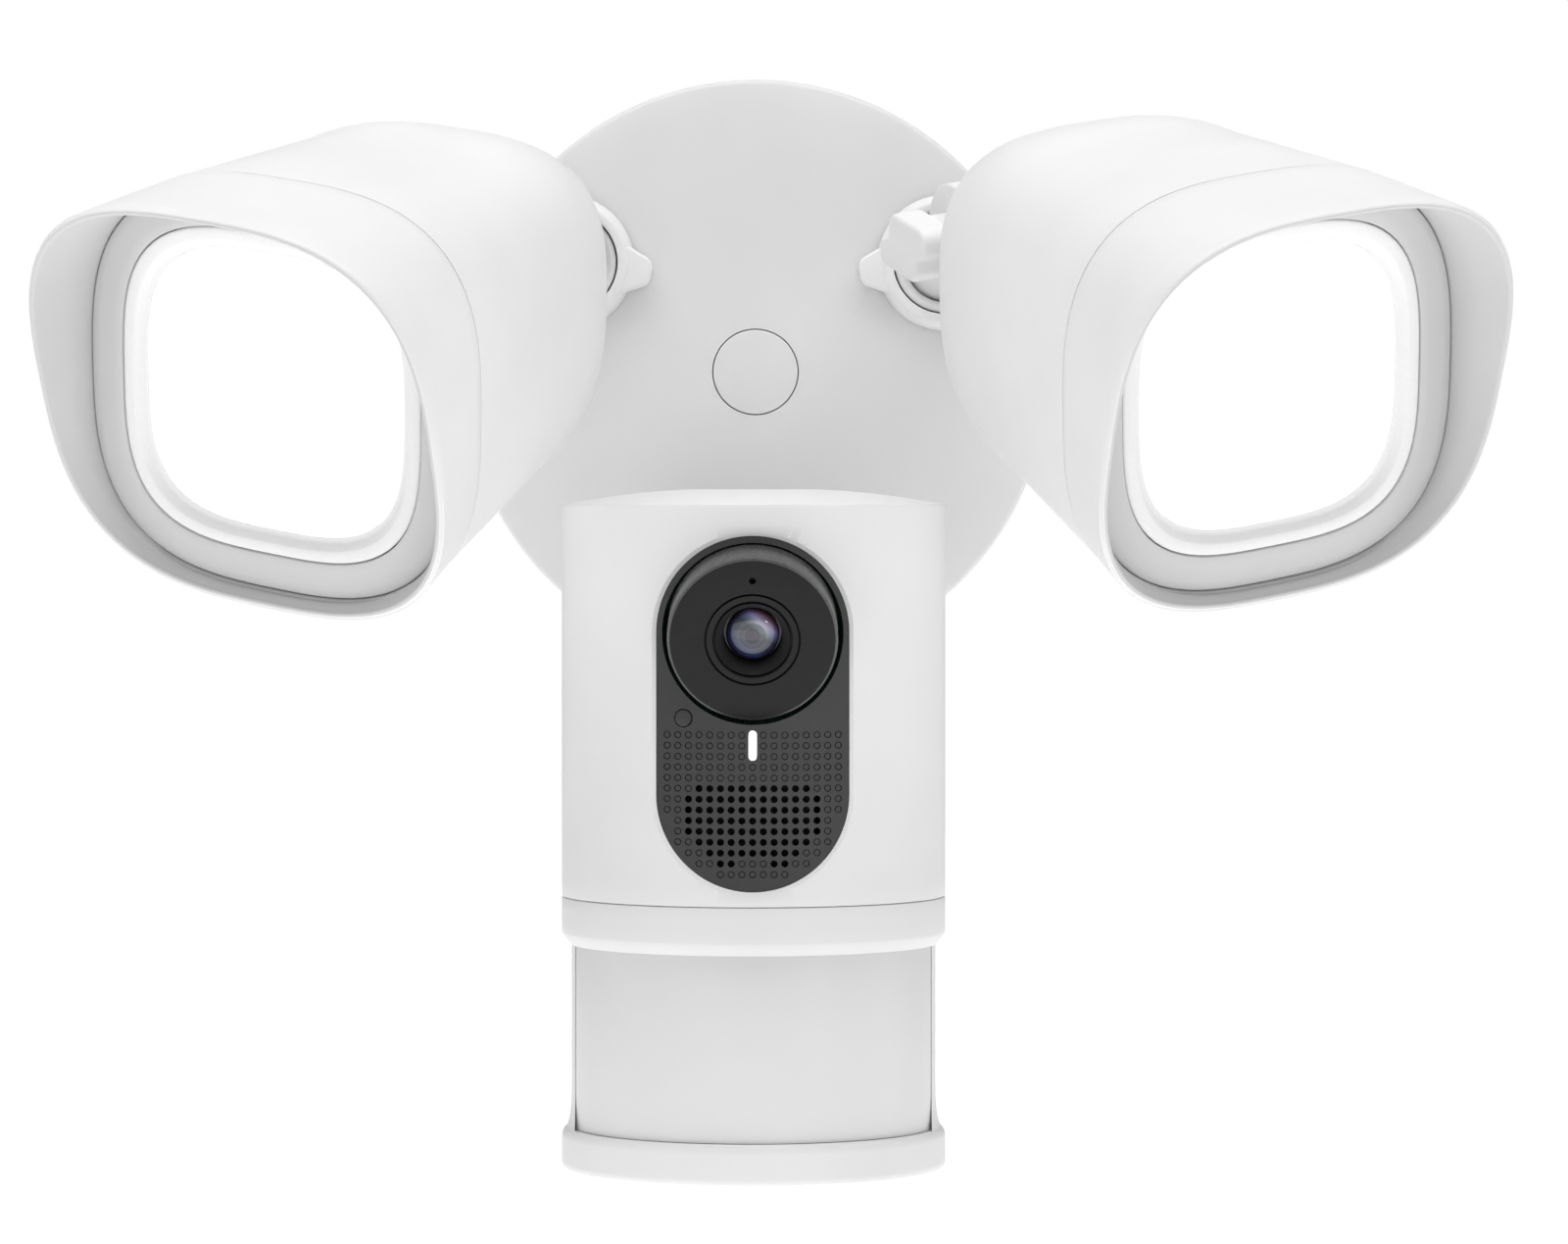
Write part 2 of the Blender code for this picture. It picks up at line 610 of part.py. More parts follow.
def add_lamp_inside(arm, frame, offset, looks):
    """From the front: gasket, reflector, LED board and a finned heat sink."""
    level = SEAM_LEVEL + 1.2 - GAP
    gasket = [
        rounded_square(DIFFUSER_HALF - 3.2, DIFFUSER_EXPONENT, level),
        rounded_square(SEAM_HALF - 4.0, LAMP_EXPONENT, level),
        rounded_square(SEAM_HALF - 4.0, LAMP_EXPONENT, level - 1.6),
        rounded_square(DIFFUSER_HALF - 3.2, DIFFUSER_EXPONENT, level - 1.6),
    ]
    add(f"lens_gasket_{arm}", loft(gasket, closed=True), looks["rubber"], frame, offset)
    mouth = level - 1.6 - GAP
    floor = -27.0
    reflector = [
        rounded_square(15.0, 2.4, floor),
        rounded_square(36.5, LAMP_EXPONENT, mouth - 1.0),
        rounded_square(36.5, LAMP_EXPONENT, mouth),
        rounded_square(33.5, LAMP_EXPONENT, mouth),
        rounded_square(14.0, 2.4, floor + 1.4),
        rounded_square(12.5, 2.4, floor),
    ]
    add(f"reflector_{arm}", loft(reflector, closed=True), looks["mirror"], frame, offset)
    board_top = floor - GAP
    side = 18.0
    board = [(-side, -side, 3.0), (side, -side, 3.0), (side, side, 3.0), (-side, side, 3.0)]
    plate = prism(rounded_outline(board), board_top - 1.6, board_top)
    add(f"led_board_{arm}", plate, looks["white_board"], frame, offset)
    sink_top = board_top - 1.6 - GAP
    sink = add(f"heat_sink_{arm}", block((-24, -24, sink_top - 4), (24, 24, sink_top)), looks["metal"], frame, offset)
    fins = [block((x - 1.0, -20, sink_top - 26), (x + 1.0, 20, sink_top - 2)) for x in (-18, -9, 0, 9, 18)]
    boolean(sink, "UNION", join(fins), frame, offset)


def lamp_rotation(side):
    yaw = turn_about("Z", side * LAMP_YAW)
    pitch = turn_about("X", 90.0 + LAMP_PITCH)
    return yaw @ pitch @ turn_about("Z", side * LAMP_ROLL)


def add_lamp(arm, side, looks):
    centre = socket_centre(arm)
    ball = Matrix.Translation((centre.x, -centre.z, centre.y))
    socket = add_empty(f"socket_{arm}", ball @ turn_about("X", 90.0))
    add_ball_seat(arm, socket, looks["base"])
    add_lock_ring(arm, socket, looks["white"])
    swivel = add_empty(f"swivel_{arm}", ball @ lamp_rotation(side) @ turn_about("X", -LAMP_BEND))
    add_stem(arm, swivel, looks["white"], EAR_INNER - GAP, TONGUE_RADIUS, EAR_RADIUS)
    hinge = Matrix.Translation((0, 0, STEM_LENGTH)) @ turn_about("X", LAMP_BEND)
    tilt = add_empty(f"tilt_{arm}", hinge, swivel)
    offset = (-LAMP_HINGE_OFFSET, 0.0, LAMP_HINGE_DISTANCE)
    add_lamp_housing(arm, tilt, offset, looks["white"])
    add_visor(arm, tilt, offset, looks["white"])
    add_bezel(arm, tilt, offset, looks["white"])
    add_diffuser(arm, tilt, offset, looks["light"])
    add_lamp_inside(arm, tilt, offset, looks)
    add_knuckle_bolt(arm, tilt, looks["steel"], EAR_OUTER, 0.0)
    add_knob(arm, tilt, looks["white"], EAR_OUTER, 0.0, 0.0)


# ---------------------------------------------------------------------------------------------
# Camera head. Meshes are in world axes, moved so that the parent empty lies on the tilt hinge.
# ---------------------------------------------------------------------------------------------

def add_head_shell(frame, offset, plastic):
    seam = HEAD_SEAM + GAP / 2
    roof = HEAD_TOP - HEAD_WALL
    rings = [ellipse(HEAD_HALF_DEPTH - 3.0, roof), ellipse(HEAD_WALL, roof)]
    rings += [ellipse(HEAD_WALL, seam), ellipse(0.2, seam), ellipse(0.0, seam + 0.2)]
    rings += [ellipse(0.0, HEAD_TOP - 0.4), ellipse(0.4, HEAD_TOP)]
    for inset in (6.0, 16.0, HEAD_HALF_DEPTH - 3.0):
        share = (inset / HEAD_HALF_DEPTH)
        rings.append(ellipse(inset, HEAD_TOP + HEAD_TOP_RISE * math.sin(share * math.pi / 2)))
    shell = add("camera_shell", loft(rings), plastic, frame, offset)
    front = HEAD_CENTRE_Y
    outline = stadium(PANEL_HALF_WIDTH + GAP, PANEL_TOP + GAP, PANEL_BOTTOM - GAP)
    window = prism(outline, front - 60, front - 10, "Y")
    boolean(shell, "DIFFERENCE", window, frame, offset)
    reach = HEAD_CENTRE_Y + HEAD_HALF_DEPTH - 4.5
    hinge_y = head_hinge().y
    ears = []
    for low in (-HEAD_EAR_OUTER, HEAD_EAR_INNER):
        outline = [(-y, z) for z, y in ear_outline(HEAD_EAR_RADIUS, hinge_y - reach)]
        outline = [(hinge_y + a, HEAD_HINGE_LEVEL + b) for a, b in outline]
        ears.append(prism(outline, low, low + HEAD_EAR_OUTER - HEAD_EAR_INNER, axis="X"))
    boolean(shell, "UNION", join(ears), frame, offset)
    pin = tube_along((-30, hinge_y, HEAD_HINGE_LEVEL), (30, hinge_y, HEAD_HINGE_LEVEL), PIN_RADIUS + GAP, 16)
    boolean(shell, "DIFFERENCE", pin, frame, offset)


def head_hinge():
    """Where the stem of the camera arm ends: it leans up from its ball in the plane x = 0."""
    ball = socket_centre("camera")
    rise = HEAD_HINGE_LEVEL - ball.y
    return Vector((0.0, -ball.z - math.sqrt(STEM_LENGTH ** 2 - rise ** 2), HEAD_HINGE_LEVEL))


def front_surface(x, inset):
    """World Y of the head's front wall, moved in by inset."""
    share = x / (HEAD_HALF_WIDTH - inset)
    return HEAD_CENTRE_Y - (HEAD_HALF_DEPTH - inset) * math.sqrt(max(0.0, 1 - share * share))


def curved_sheet(outer_inset, thickness, half_width, low, high, steps=16):
    """A piece of the head's front wall between two levels, following the ellipse."""
    outline = []
    for step in range(steps + 1):
        turn = math.pi * step / steps
        x = half_width * math.cos(turn)
        outline.append((x, front_surface(x, outer_inset)))
    for step in range(steps + 1):
        turn = math.pi * (1 - step / steps)
        x = half_width * math.cos(turn)
        outline.append((x, front_surface(x, outer_inset + thickness)))
    return prism(outline, low, high)


def pierced_sheet(outlines, front, back):
    """A sheet with holes, bent to two fronts: closed (x, z) outlines, the outside one first."""
    mesh = bmesh.new()
    edges = []
    for outline in outlines:
        points = [mesh.verts.new((x, 0.0, z)) for x, z in outline]
        edges += [mesh.edges.new((points[i - 1], points[i])) for i in range(len(points))]
    bmesh.ops.triangle_fill(mesh, edges=edges, use_beauty=True)
    copied = bmesh.ops.extrude_face_region(mesh, geom=list(mesh.faces))["geom"]
    rear = {item for item in copied if isinstance(item, bmesh.types.BMVert)}
    for vertex in mesh.verts:
        vertex.co.y = back(vertex.co.x) if vertex in rear else front(vertex.co.x)
    return mesh


def turret_frame():
    """The lens turret's axes: Z out of the lens, tipped down from straight ahead."""
    panel_front = HEAD_CENTRE_Y - HEAD_HALF_DEPTH + PANEL_RECESS
    place = Matrix.Translation((0.0, panel_front - TURRET_PROUD, LENS_LEVEL))
    return place @ turn_about("X", 90.0 + TURRET_TILT)


def turned(mesh, placement):
    bmesh.ops.transform(mesh, matrix=placement, verts=mesh.verts)
    return mesh


def grille_holes():
    """Centres (x, z) of the open speaker holes."""
    spots = []
    for row, half_count in GRILLE_OPEN_ROWS.items():
        for column in range(-half_count, half_count + 1):
            spots.append((column * GRILLE_PITCH, GRILLE_FIRST_ROW - (row - 1) * GRILLE_PITCH))
    for column in GRILLE_LAST_ROW_COLUMNS:
        spots.append((column * GRILLE_PITCH, GRILLE_FIRST_ROW - (GRILLE_LAST_ROW - 1) * GRILLE_PITCH))
    return spots


def round_outline(x, z, radius, count):
    turns = [2 * math.pi * i / count for i in range(count)]
    return [(x + radius * math.cos(t), z + radius * math.sin(t)) for t in turns]


def add_face_panel(frame, offset, looks):
    front = HEAD_CENTRE_Y
    outlines = [stadium(PANEL_HALF_WIDTH, PANEL_TOP, PANEL_BOTTOM, 8)]
    outlines.append(round_outline(0.0, TURRET_POCKET_LEVEL, TURRET_POCKET_RADIUS, 24))
    half = STATUS_LIGHT_WIDTH / 2 + GAP
    outlines.append(stadium(half, STATUS_LIGHT_TOP + GAP, STATUS_LIGHT_BOTTOM - GAP, 3))
    outlines.append(round_outline(SENSOR_PLACE[0], SENSOR_PLACE[1], SENSOR_RADIUS + GAP, 10))
    outlines += [round_outline(x, z, GRILLE_HOLE_RADIUS, 4) for x, z in grille_holes()]
    sheet = pierced_sheet(
        outlines,
        lambda x: front_surface(x, PANEL_RECESS),
        lambda x: front_surface(x, PANEL_RECESS + PANEL_THICKNESS),
    )
    add("face_panel", sheet, looks["black"], frame, offset)
    light = stadium(STATUS_LIGHT_WIDTH / 2, STATUS_LIGHT_TOP, STATUS_LIGHT_BOTTOM, 6)
    face = front - HEAD_HALF_DEPTH + PANEL_RECESS
    add("status_light", prism(light, face + 0.1, face + 4.2, "Y"), looks["light"], frame, offset)
    x, z = SENSOR_PLACE
    depth = front_surface(x, PANEL_RECESS) - 0.1
    window = tube_along((x, depth, z), (x, depth + 3.0, z), SENSOR_RADIUS, 12)
    add("light_sensor_window", window, looks["black"], frame, offset)


def add_lens(frame, offset, looks):
    """Turret face with its round side wall, then barrel and front glass inside it."""
    place = turret_frame()
    mouth = 10.1
    face = [
        (mouth, -9.0),
        (TURRET_RADIUS, -9.0),
        (TURRET_RADIUS, -0.6),
        (TURRET_RADIUS - 0.6, 0.0),
        (mouth - 0.4, 0.0),
        (mouth - 0.4, -1.0),
        (7.9, -1.4),
        (7.0, -3.4),
        (7.0, -5.0),
        (mouth, -5.0),
    ]
    add("lens_turret", turned(lathe(face, closed=True, count=24), place), looks["black"], frame, offset)
    barrel = [(5.6, -17.0), (6.6, -17.0), (6.6, -3.4), (6.2, -2.9), (5.7, -2.9), (5.6, -3.2)]
    add("lens_barrel", turned(lathe(barrel, closed=True, count=16), place), looks["black"], frame, offset)
    glass = [(5.3, -9.0), (5.3, -4.0), (4.9, -3.4), (4.0, -2.8), (2.6, -2.35), (1.0, -2.15)]
    add("lens_glass", turned(lathe(glass, count=16), place), looks["glass"], frame, offset)
    board = prism([(-11, -11), (11, -11), (11, 11), (-11, 11)], -18.9, -17.3)
    add("image_sensor_board", turned(board, place), looks["board"], frame, offset)
    chip = prism([(-3.6, -3.0), (3.6, -3.0), (3.6, 3.0), (-3.6, 3.0)], -17.0, -15.8)
    add("image_sensor", turned(chip, place), looks["metal"], frame, offset)


def add_head_inside(frame, offset, looks):
    y = HEAD_CENTRE_Y
    add("main_board", block((-26, y + 8, -104), (26, y + 9.6, -34)), looks["board"], frame, offset)
    speaker = [(9.5, 0.0), (12.5, 0.0), (12.5, 7.0), (8.0, 10.0), (3.0, 10.0)]
    speaker = [(3.0, 0.0)] + speaker
    place = Matrix.Translation((0, y - 24.5, -91.0)) @ turn_about("X", -90.0)
    add("speaker", turned(lathe(speaker, count=16), place), looks["dark_plastic"], frame, offset)
    add("motion_sensor_board", block((-24, y - 10, -152), (24, y - 8.4, -122)), looks["board"], frame, offset)
    for side, label in ((-1, "left"), (1, "right")):
        can = tube_along((side * 12, y - 15.5, -137), (side * 12, y - 10.3, -137), 4.6, 20)
        add(f"motion_sensor_{label}", can, looks["steel"], frame, offset)


def add_lower_frame(frame, offset, looks):
    """Collar, open waist with two side struts and a rear wall, and a foot closed below."""
    seam = HEAD_SEAM - GAP / 2
    floor = FOOT_BOTTOM + HEAD_WALL
    waist = COLLAR_CHAMFER
    inside = waist + 1.6
    rings = [ellipse(HEAD_HALF_DEPTH - 3.0, floor), ellipse(inside, floor), ellipse(inside, seam)]
    rings += [ellipse(0.2, seam), ellipse(0.0, seam - 0.2), ellipse(0.0, COLLAR_BOTTOM)]
    rings += [ellipse(waist, WAIST_TOP), ellipse(waist, FOOT_TOP + 5.0), ellipse(waist - 0.5, FOOT_TOP + 2.4)]
    rings += [ellipse(0.6, FOOT_TOP - 0.2), ellipse(0.0, FOOT_TOP - 1.2), ellipse(0.0, FOOT_BOTTOM + 1.0)]
    rings += [ellipse(0.4, FOOT_BOTTOM + 0.3), ellipse(1.3, FOOT_BOTTOM), ellipse(HEAD_HALF_DEPTH - 3.0, FOOT_BOTTOM)]
    lower = add("lower_frame", loft(rings), looks["white"], frame, offset)
    y = HEAD_CENTRE_Y
    half = HEAD_HALF_WIDTH - 3.0
    boolean(lower, "DIFFERENCE", block((-half, y - 50, FOOT_TOP), (half, y + 2, WAIST_TOP)), frame, offset)
    button_hole = tube_along((0, y, FOOT_BOTTOM - 5), (0, y, FOOT_BOTTOM + 5), 4.3, 24)
    boolean(lower, "DIFFERENCE", button_hole, frame, offset)
    window = curved_sheet(waist + 0.2, 1.8, half - GAP, FOOT_TOP + GAP, WAIST_TOP - GAP, 24)
    add("motion_sensor_window", window, looks["milk"], frame, offset)
    button = [(2.0, FOOT_BOTTOM + 0.2), (3.6, FOOT_BOTTOM + 0.2), (4.0, FOOT_BOTTOM + 0.6)]
    button += [(4.0, floor + 0.6), (6.0, floor + 0.6), (6.0, floor + 1.8), (2.0, floor + 1.8)]
    add("sync_button", lathe(button, count=16), looks["dark_plastic"], frame, (offset[0], offset[1] + y, offset[2]))


def add_camera(looks):
    arm = "camera"
    centre = socket_centre(arm)
    ball = Matrix.Translation((centre.x, -centre.z, centre.y))
    socket = add_empty("socket_camera", ball @ turn_about("X", 90.0))
    add_ball_seat(arm, socket, looks["base"])
    add_lock_ring(arm, socket, looks["white"])
    hinge = head_hinge()
    lean = math.degrees(math.asin((hinge.z - centre.y) / STEM_LENGTH))
    pan = add_empty("pan_camera", ball @ turn_about("X", 90.0 - lean))
    add_stem(arm, pan, looks["white"], HEAD_EAR_INNER - GAP, TONGUE_RADIUS, HEAD_EAR_RADIUS)
    local = Matrix.Translation((0, 0, STEM_LENGTH)) @ turn_about("X", lean - 90.0)
    tilt = add_empty("tilt_camera", local, pan)
    offset = -hinge
    add_head_shell(tilt, offset, looks["white"])
    add_face_panel(tilt, offset, looks)
    add_lens(tilt, offset, looks)
    add_head_inside(tilt, offset, looks)
    add_lower_frame(tilt, offset, looks)
    add_knuckle_bolt(arm, tilt, looks["steel"], HEAD_EAR_OUTER, HEAD_KNOB_OFFSET)
    add_knob(arm, tilt, looks["white"], HEAD_EAR_OUTER, HEAD_KNOB_OFFSET, 60.0)


# ---------------------------------------------------------------------------------------------

def main():
    for thing in list(bpy.data.objects):
        bpy.data.objects.remove(thing, do_unlink=True)
    looks = {
        "white": make_material("white plastic", (0.80, 0.80, 0.80), 0.42),
        "base": make_material("base plastic", (0.74, 0.74, 0.74), 0.46),
        "light": make_material("frosted diffuser", (0.95, 0.95, 0.94), 0.35),
        "milk": make_material("milky window", (0.72, 0.72, 0.71), 0.38),
        "black": make_material("dark plastic", (0.045, 0.045, 0.047), 0.40),
        "dark_plastic": make_material("inner plastic", (0.08, 0.08, 0.085), 0.55),
        "glass": make_material("lens glass", (0.03, 0.035, 0.06), 0.05),
        "steel": make_material("zinc steel", (0.62, 0.63, 0.65), 0.32, 1.0),
        "metal": make_material("cast aluminium", (0.70, 0.71, 0.72), 0.38, 1.0),
        "mirror": make_material("bright reflector", (0.88, 0.88, 0.88), 0.12, 1.0),
        "rubber": make_material("soft rubber", (0.10, 0.10, 0.10), 0.80),
        "board": make_material("circuit board", (0.02, 0.16, 0.07), 0.45),
        "white_board": make_material("white circuit board", (0.85, 0.85, 0.83), 0.40),
    }
    wall = add_empty("wall_centre", turn_about("X", 90.0))
    add_base(wall, looks)
    add_lamp("left", -1, looks)
    add_lamp("right", 1, looks)
    add_camera(looks)


main()
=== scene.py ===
"""Looks for the floodlight security camera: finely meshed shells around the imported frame, materials,
studio and camera. Sizes are in millimetres in the frame's own axes, and meshes are scaled to metres."""
import json
import math

import bmesh
import bpy
from mathutils import Matrix, Vector


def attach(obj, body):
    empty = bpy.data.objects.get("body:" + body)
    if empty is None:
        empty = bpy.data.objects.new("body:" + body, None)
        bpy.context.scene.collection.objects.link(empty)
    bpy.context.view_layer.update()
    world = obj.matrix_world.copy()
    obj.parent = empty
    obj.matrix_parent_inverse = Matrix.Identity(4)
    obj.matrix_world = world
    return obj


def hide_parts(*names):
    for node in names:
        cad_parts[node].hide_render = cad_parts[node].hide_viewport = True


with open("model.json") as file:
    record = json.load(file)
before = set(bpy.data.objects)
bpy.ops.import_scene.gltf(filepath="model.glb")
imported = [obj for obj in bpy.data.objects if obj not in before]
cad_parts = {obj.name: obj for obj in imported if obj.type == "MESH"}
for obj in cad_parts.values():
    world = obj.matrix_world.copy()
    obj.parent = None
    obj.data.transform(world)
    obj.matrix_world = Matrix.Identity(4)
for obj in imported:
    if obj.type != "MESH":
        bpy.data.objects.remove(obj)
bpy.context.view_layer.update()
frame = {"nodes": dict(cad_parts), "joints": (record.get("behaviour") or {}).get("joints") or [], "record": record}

MM = 0.001
GAP = 0.3

# Base
BASE_RADIUS = 64.0
BASE_EDGE_HEIGHT = 15.9
BASE_DOME_RISE = 3.6
BASE_WALL = 2.4
BASE_BEVEL = 1.5
BASE_BACK = 1.3
CAP_RADIUS = 9.2
CAP_GAP = 0.22
CAP_DEPTH = 4.8
BOSS_WALL = 2.2
CUT_HEIGHT = 30
BOLT_RADIUS = 2.9
SOCKET_CIRCLE_RADIUS = 47.5
SOCKET_HOLE_RADIUS = 11.2
BALL_HEIGHT = 14.0
BALL_RADIUS = 9.0
RING_RADIUS = 14.8
RING_TAB_RADIUS = 18.7
ARMS = {"left": (150.0, -7.0), "right": (30.0, 187.0), "camera": (270.0, 90.0)}

# Stems and knuckles
SHAFT_RADIUS = 4.8
STEM_LENGTH = 27.5
TONGUE_RADIUS = 8.6
TONGUE_GAP = 0.8
PIN_RADIUS = 2.0
PIN_REACH = 20
KNOB_INNER = 13.8
KNOB_OUTER = 21.0
KNOB_HALF_LENGTH = 11.4
KNOB_HALF_HEIGHT = 6.5
KNOB_STEP = 4.8
# Clevis ears: inner face, outer face, radius.
LAMP_EARS = (4.6, 9.0, 12.0)
HEAD_EARS = (9.0, 14.5, 10.6)
EAR_EDGE = 0.6
HEAD_KNOB_SHIFT = -5.6
HEAD_KNOB_TURN = 60.0

# Lamps: local Z out of the lamp, zero at the front of the bezel
LAMP_BEND = 29.9
LAMP_OFFSET = (4.4, 0.0, 114.5)
SEAM_LEVEL = -7.9
SEAM_HALF = 41.4
SEAM_HALF_GAP = 0.12
LAMP_EXPONENT = 2.92
BACK_TAPER = 0.096
DOME_START = -58.0
DOME_DEPTH = 49.0
DOME_BACK_WALL = 14.0
LAMP_EAR_REACH = 17.0
LAMP_WALL = 2.2
VISOR_INNER_HALF = 40.1
VISOR_FLARE = 0.08
VISOR_LIP = 0.62
# The tip is a little smaller than the flare gives, so that the lip stays inside the CAD box.
VISOR_TIP_INSET = 0.4
CREASE_LEVEL = 5.4
CREASE_SLOPE_DROP = 0.45
RIM_LEVEL = 13.7
RIM_SLOPE = 0.275
DIFFUSER_HALF = 32.4
DIFFUSER_EXPONENT = 3.26
DIFFUSER_MIDDLE_EXPONENT = 2.1
BEZEL_BACK = SEAM_LEVEL + 1.2
PANEL_BACK = SEAM_LEVEL + 3.0

# Camera head
HEAD_CENTRE_Y = -80.0
HEAD_HALF_WIDTH = 39.1
HEAD_HALF_DEPTH = 29.7
HEAD_TOP = -28.7
HEAD_TOP_RISE = 3.0
HEAD_SEAM = -108.5
HEAD_SEAM_HALF_GAP = 0.06
HEAD_CORE = HEAD_HALF_DEPTH - 3.0
COLLAR_BOTTOM = -115.9
WAIST_INSET = 2.0
WAIST_TOP = -118.3
FOOT_TOP = -155.5
FOOT_BOTTOM = -163.7
HEAD_WALL = 2.2
WINDOW_INSET = WAIST_INSET + 0.12
WINDOW_THICKNESS = 1.8
WINDOW_HALF_WIDTH = HEAD_HALF_WIDTH - 3.0
BUTTON_HOLE_RADIUS = 4.3
PANEL_HALF_WIDTH = 19.1
PANEL_TOP = -35.1
PANEL_BOTTOM = -105.4
PANEL_RECESS = 0.5
PANEL_THICKNESS = 2.4
PANEL_BEVEL = 0.9
PANEL_GAP = 0.08
PANEL_OPENING_GAP = 0.06
LENS_LEVEL = -55.5
TURRET_RADIUS = 16.85
TURRET_TILT = 17.0
TURRET_PROUD = 3.6
TURRET_STEPS = 160
GROOVE_RADIUS = 9.3
MICROPHONE_PLACE = 12.2
MICROPHONE_RADIUS = 0.7
GLASS_RADIUS = 5.3
GLASS_RIM = -4.0
GLASS_RISE = 1.87
POCKET_RADIUS = 18.0
POCKET_LEVEL = -54.4
SENSOR_PLACE = (-13.7, -71.1)
SENSOR_RADIUS = 1.65
STATUS_WIDTH = 1.55
STATUS_TOP = -73.6
STATUS_BOTTOM = -79.4
GRILLE_PITCH = 2.12
GRILLE_HOLE_RADIUS = 0.72
GRILLE_FIRST_ROW = -74.4
# For each row of the grille: half-count of columns, and half-count of the open ones.
GRILLE_ROWS = [(8, -1)] * 5 + [(8, 5), (8, 6), (8, 6), (7, 6), (7, 6), (7, 5), (6, 4), (5, 3), (3, -1)]
STATUS_ROWS = 3
DIMPLE_DEPTH = 0.40
# A blind hole of the grille is a ring-shaped groove: (share of its radius, share of its depth).
DIMPLE_STEPS = ((1.0, 1.0), (0.74, 1.0), (0.70, 0.15))

# Studio, in metres
FLOOR_LEVEL = -0.55
FLOOR_HALF = 6.0
LIGHTS_AIM = (0.0, -0.08, -0.05)
CAMERA_PLACE = (6.2 * MM, -1.0, -28.7 * MM)
CAMERA_LENS = 103.5
CAMERA_SHIFT = -0.0753

JOINTS = {joint["name"]: joint for joint in frame["joints"]}


# ------------------------------------------------------------------------------------ mesh tools

def ring_points(radius, level, count):
    turns = [2 * math.pi * i / count for i in range(count)]
    return [Vector((radius * math.cos(t), radius * math.sin(t), level)) for t in turns]


def rounded_square(half, exponent, level, slope=0.0, count=112):
    points = []
    for i in range(count):
        turn = 2 * math.pi * (i + 0.5) / count
        radius = half / (abs(math.cos(turn)) ** exponent + abs(math.sin(turn)) ** exponent) ** (1 / exponent)
        y = radius * math.sin(turn)
        points.append(Vector((radius * math.cos(turn), y, level + slope * y)))
    return points


def lamp_ring(half, level, slope=0.0):
    return rounded_square(half, LAMP_EXPONENT, level, slope)


def diffuser_ring(half, level):
    return rounded_square(half, DIFFUSER_EXPONENT, level)


def ellipse(inset, level, count=144):
    width = HEAD_HALF_WIDTH - inset
    depth = HEAD_HALF_DEPTH - inset
    turns = [2 * math.pi * i / count for i in range(count)]
    return [Vector((width * math.cos(t), HEAD_CENTRE_Y + depth * math.sin(t), level)) for t in turns]


def loft(rings, closed=False):
    mesh = bmesh.new()
    rows = [[mesh.verts.new(point) for point in ring] for ring in rings]
    pairs = list(zip(rows, rows[1:]))
    if closed:
        pairs.append((rows[-1], rows[0]))
    for lower, upper in pairs:
        for i in range(len(lower)):
            j = (i + 1) % len(lower)
            mesh.faces.new((lower[i], lower[j], upper[j], upper[i]))
    if not closed:
        mesh.faces.new(rows[0])
        mesh.faces.new(rows[-1])
    return mesh


def lathe(profile, closed=False, count=96):
    return loft([ring_points(radius, level, count) for radius, level in profile], closed)


def soften(profile, radius, steps=4):
    """Rounds the corners of an open (radius, level) profile; radius may be cut short by near corners."""
    points = [Vector(profile[0])]
    for before, corner, after in zip(profile, profile[1:], profile[2:]):
        corner = Vector(corner)
        back = Vector(before) - corner
        ahead = Vector(after) - corner
        reach = min(radius, 0.45 * back.length, 0.45 * ahead.length)
        start = corner + back.normalized() * reach
        end = corner + ahead.normalized() * reach
        for step in range(steps + 1):
            t = step / steps
            points.append((1 - t) ** 2 * start + 2 * t * (1 - t) * corner + t * t * end)
    points.append(Vector(profile[-1]))
    return [(p.x, p.y) for p in points]


def rounded_outline(corners, steps=8):
    """A closed flat outline from (x, y, radius) corners, with an arc at each corner."""
    points = []
    count = len(corners)
    for i, (x, y, radius) in enumerate(corners):
        corner = Vector((x, y))
        before = (Vector(corners[i - 1][:2]) - corner).normalized()
        after = (Vector(corners[(i + 1) % count][:2]) - corner).normalized()
        half_angle = before.angle(after) / 2
        centre = corner + (before + after).normalized() * radius / math.sin(half_angle)
        start = corner + before * radius / math.tan(half_angle) - centre
        turn = math.pi - 2 * half_angle
        if before.x * after.y - before.y * after.x > 0:
            turn = -turn
        for step in range(steps + 1):
            points.append(centre + Matrix.Rotation(turn * step / steps, 2) @ start)
    return points


def inset_outline(outline, distance):
    """Moves each point of a closed outline inwards along its own normal."""
    area = sum(a.x * b.y - a.y * b.x for a, b in zip(outline, outline[1:] + outline[:1]))
    side = 1.0 if area > 0 else -1.0
    moved = []
    for i, point in enumerate(outline):
        along = (outline[(i + 1) % len(outline)] - outline[i - 1]).normalized()
        moved.append(point + Vector((-along.y, along.x)) * side * distance)
    return moved


def pillow(outline, low, high, edge, place, steps=4):
    """A prism from low to high with rounded rims. place turns (a, b, level) into a point."""
    ordered = [(low, edge)]
    for step in range(1, steps + 1):
        turn = math.pi / 2 * step / steps
        ordered.append((low + edge * (1 - math.cos(turn)), edge * (1 - math.sin(turn))))
    ordered += [(low + high - level, inset) for level, inset in reversed(ordered)]
    return loft([[place(p.x, p.y, level) for p in inset_outline(outline, inset)] for level, inset in ordered])


def stadium(half_width, top, bottom, steps=24):
    points = []
    for centre, start in ((top - half_width, 0.0), (bottom + half_width, math.pi)):
        for step in range(steps + 1):
            turn = start + math.pi * step / steps
            points.append((half_width * math.cos(turn), centre + half_width * math.sin(turn)))
    return points


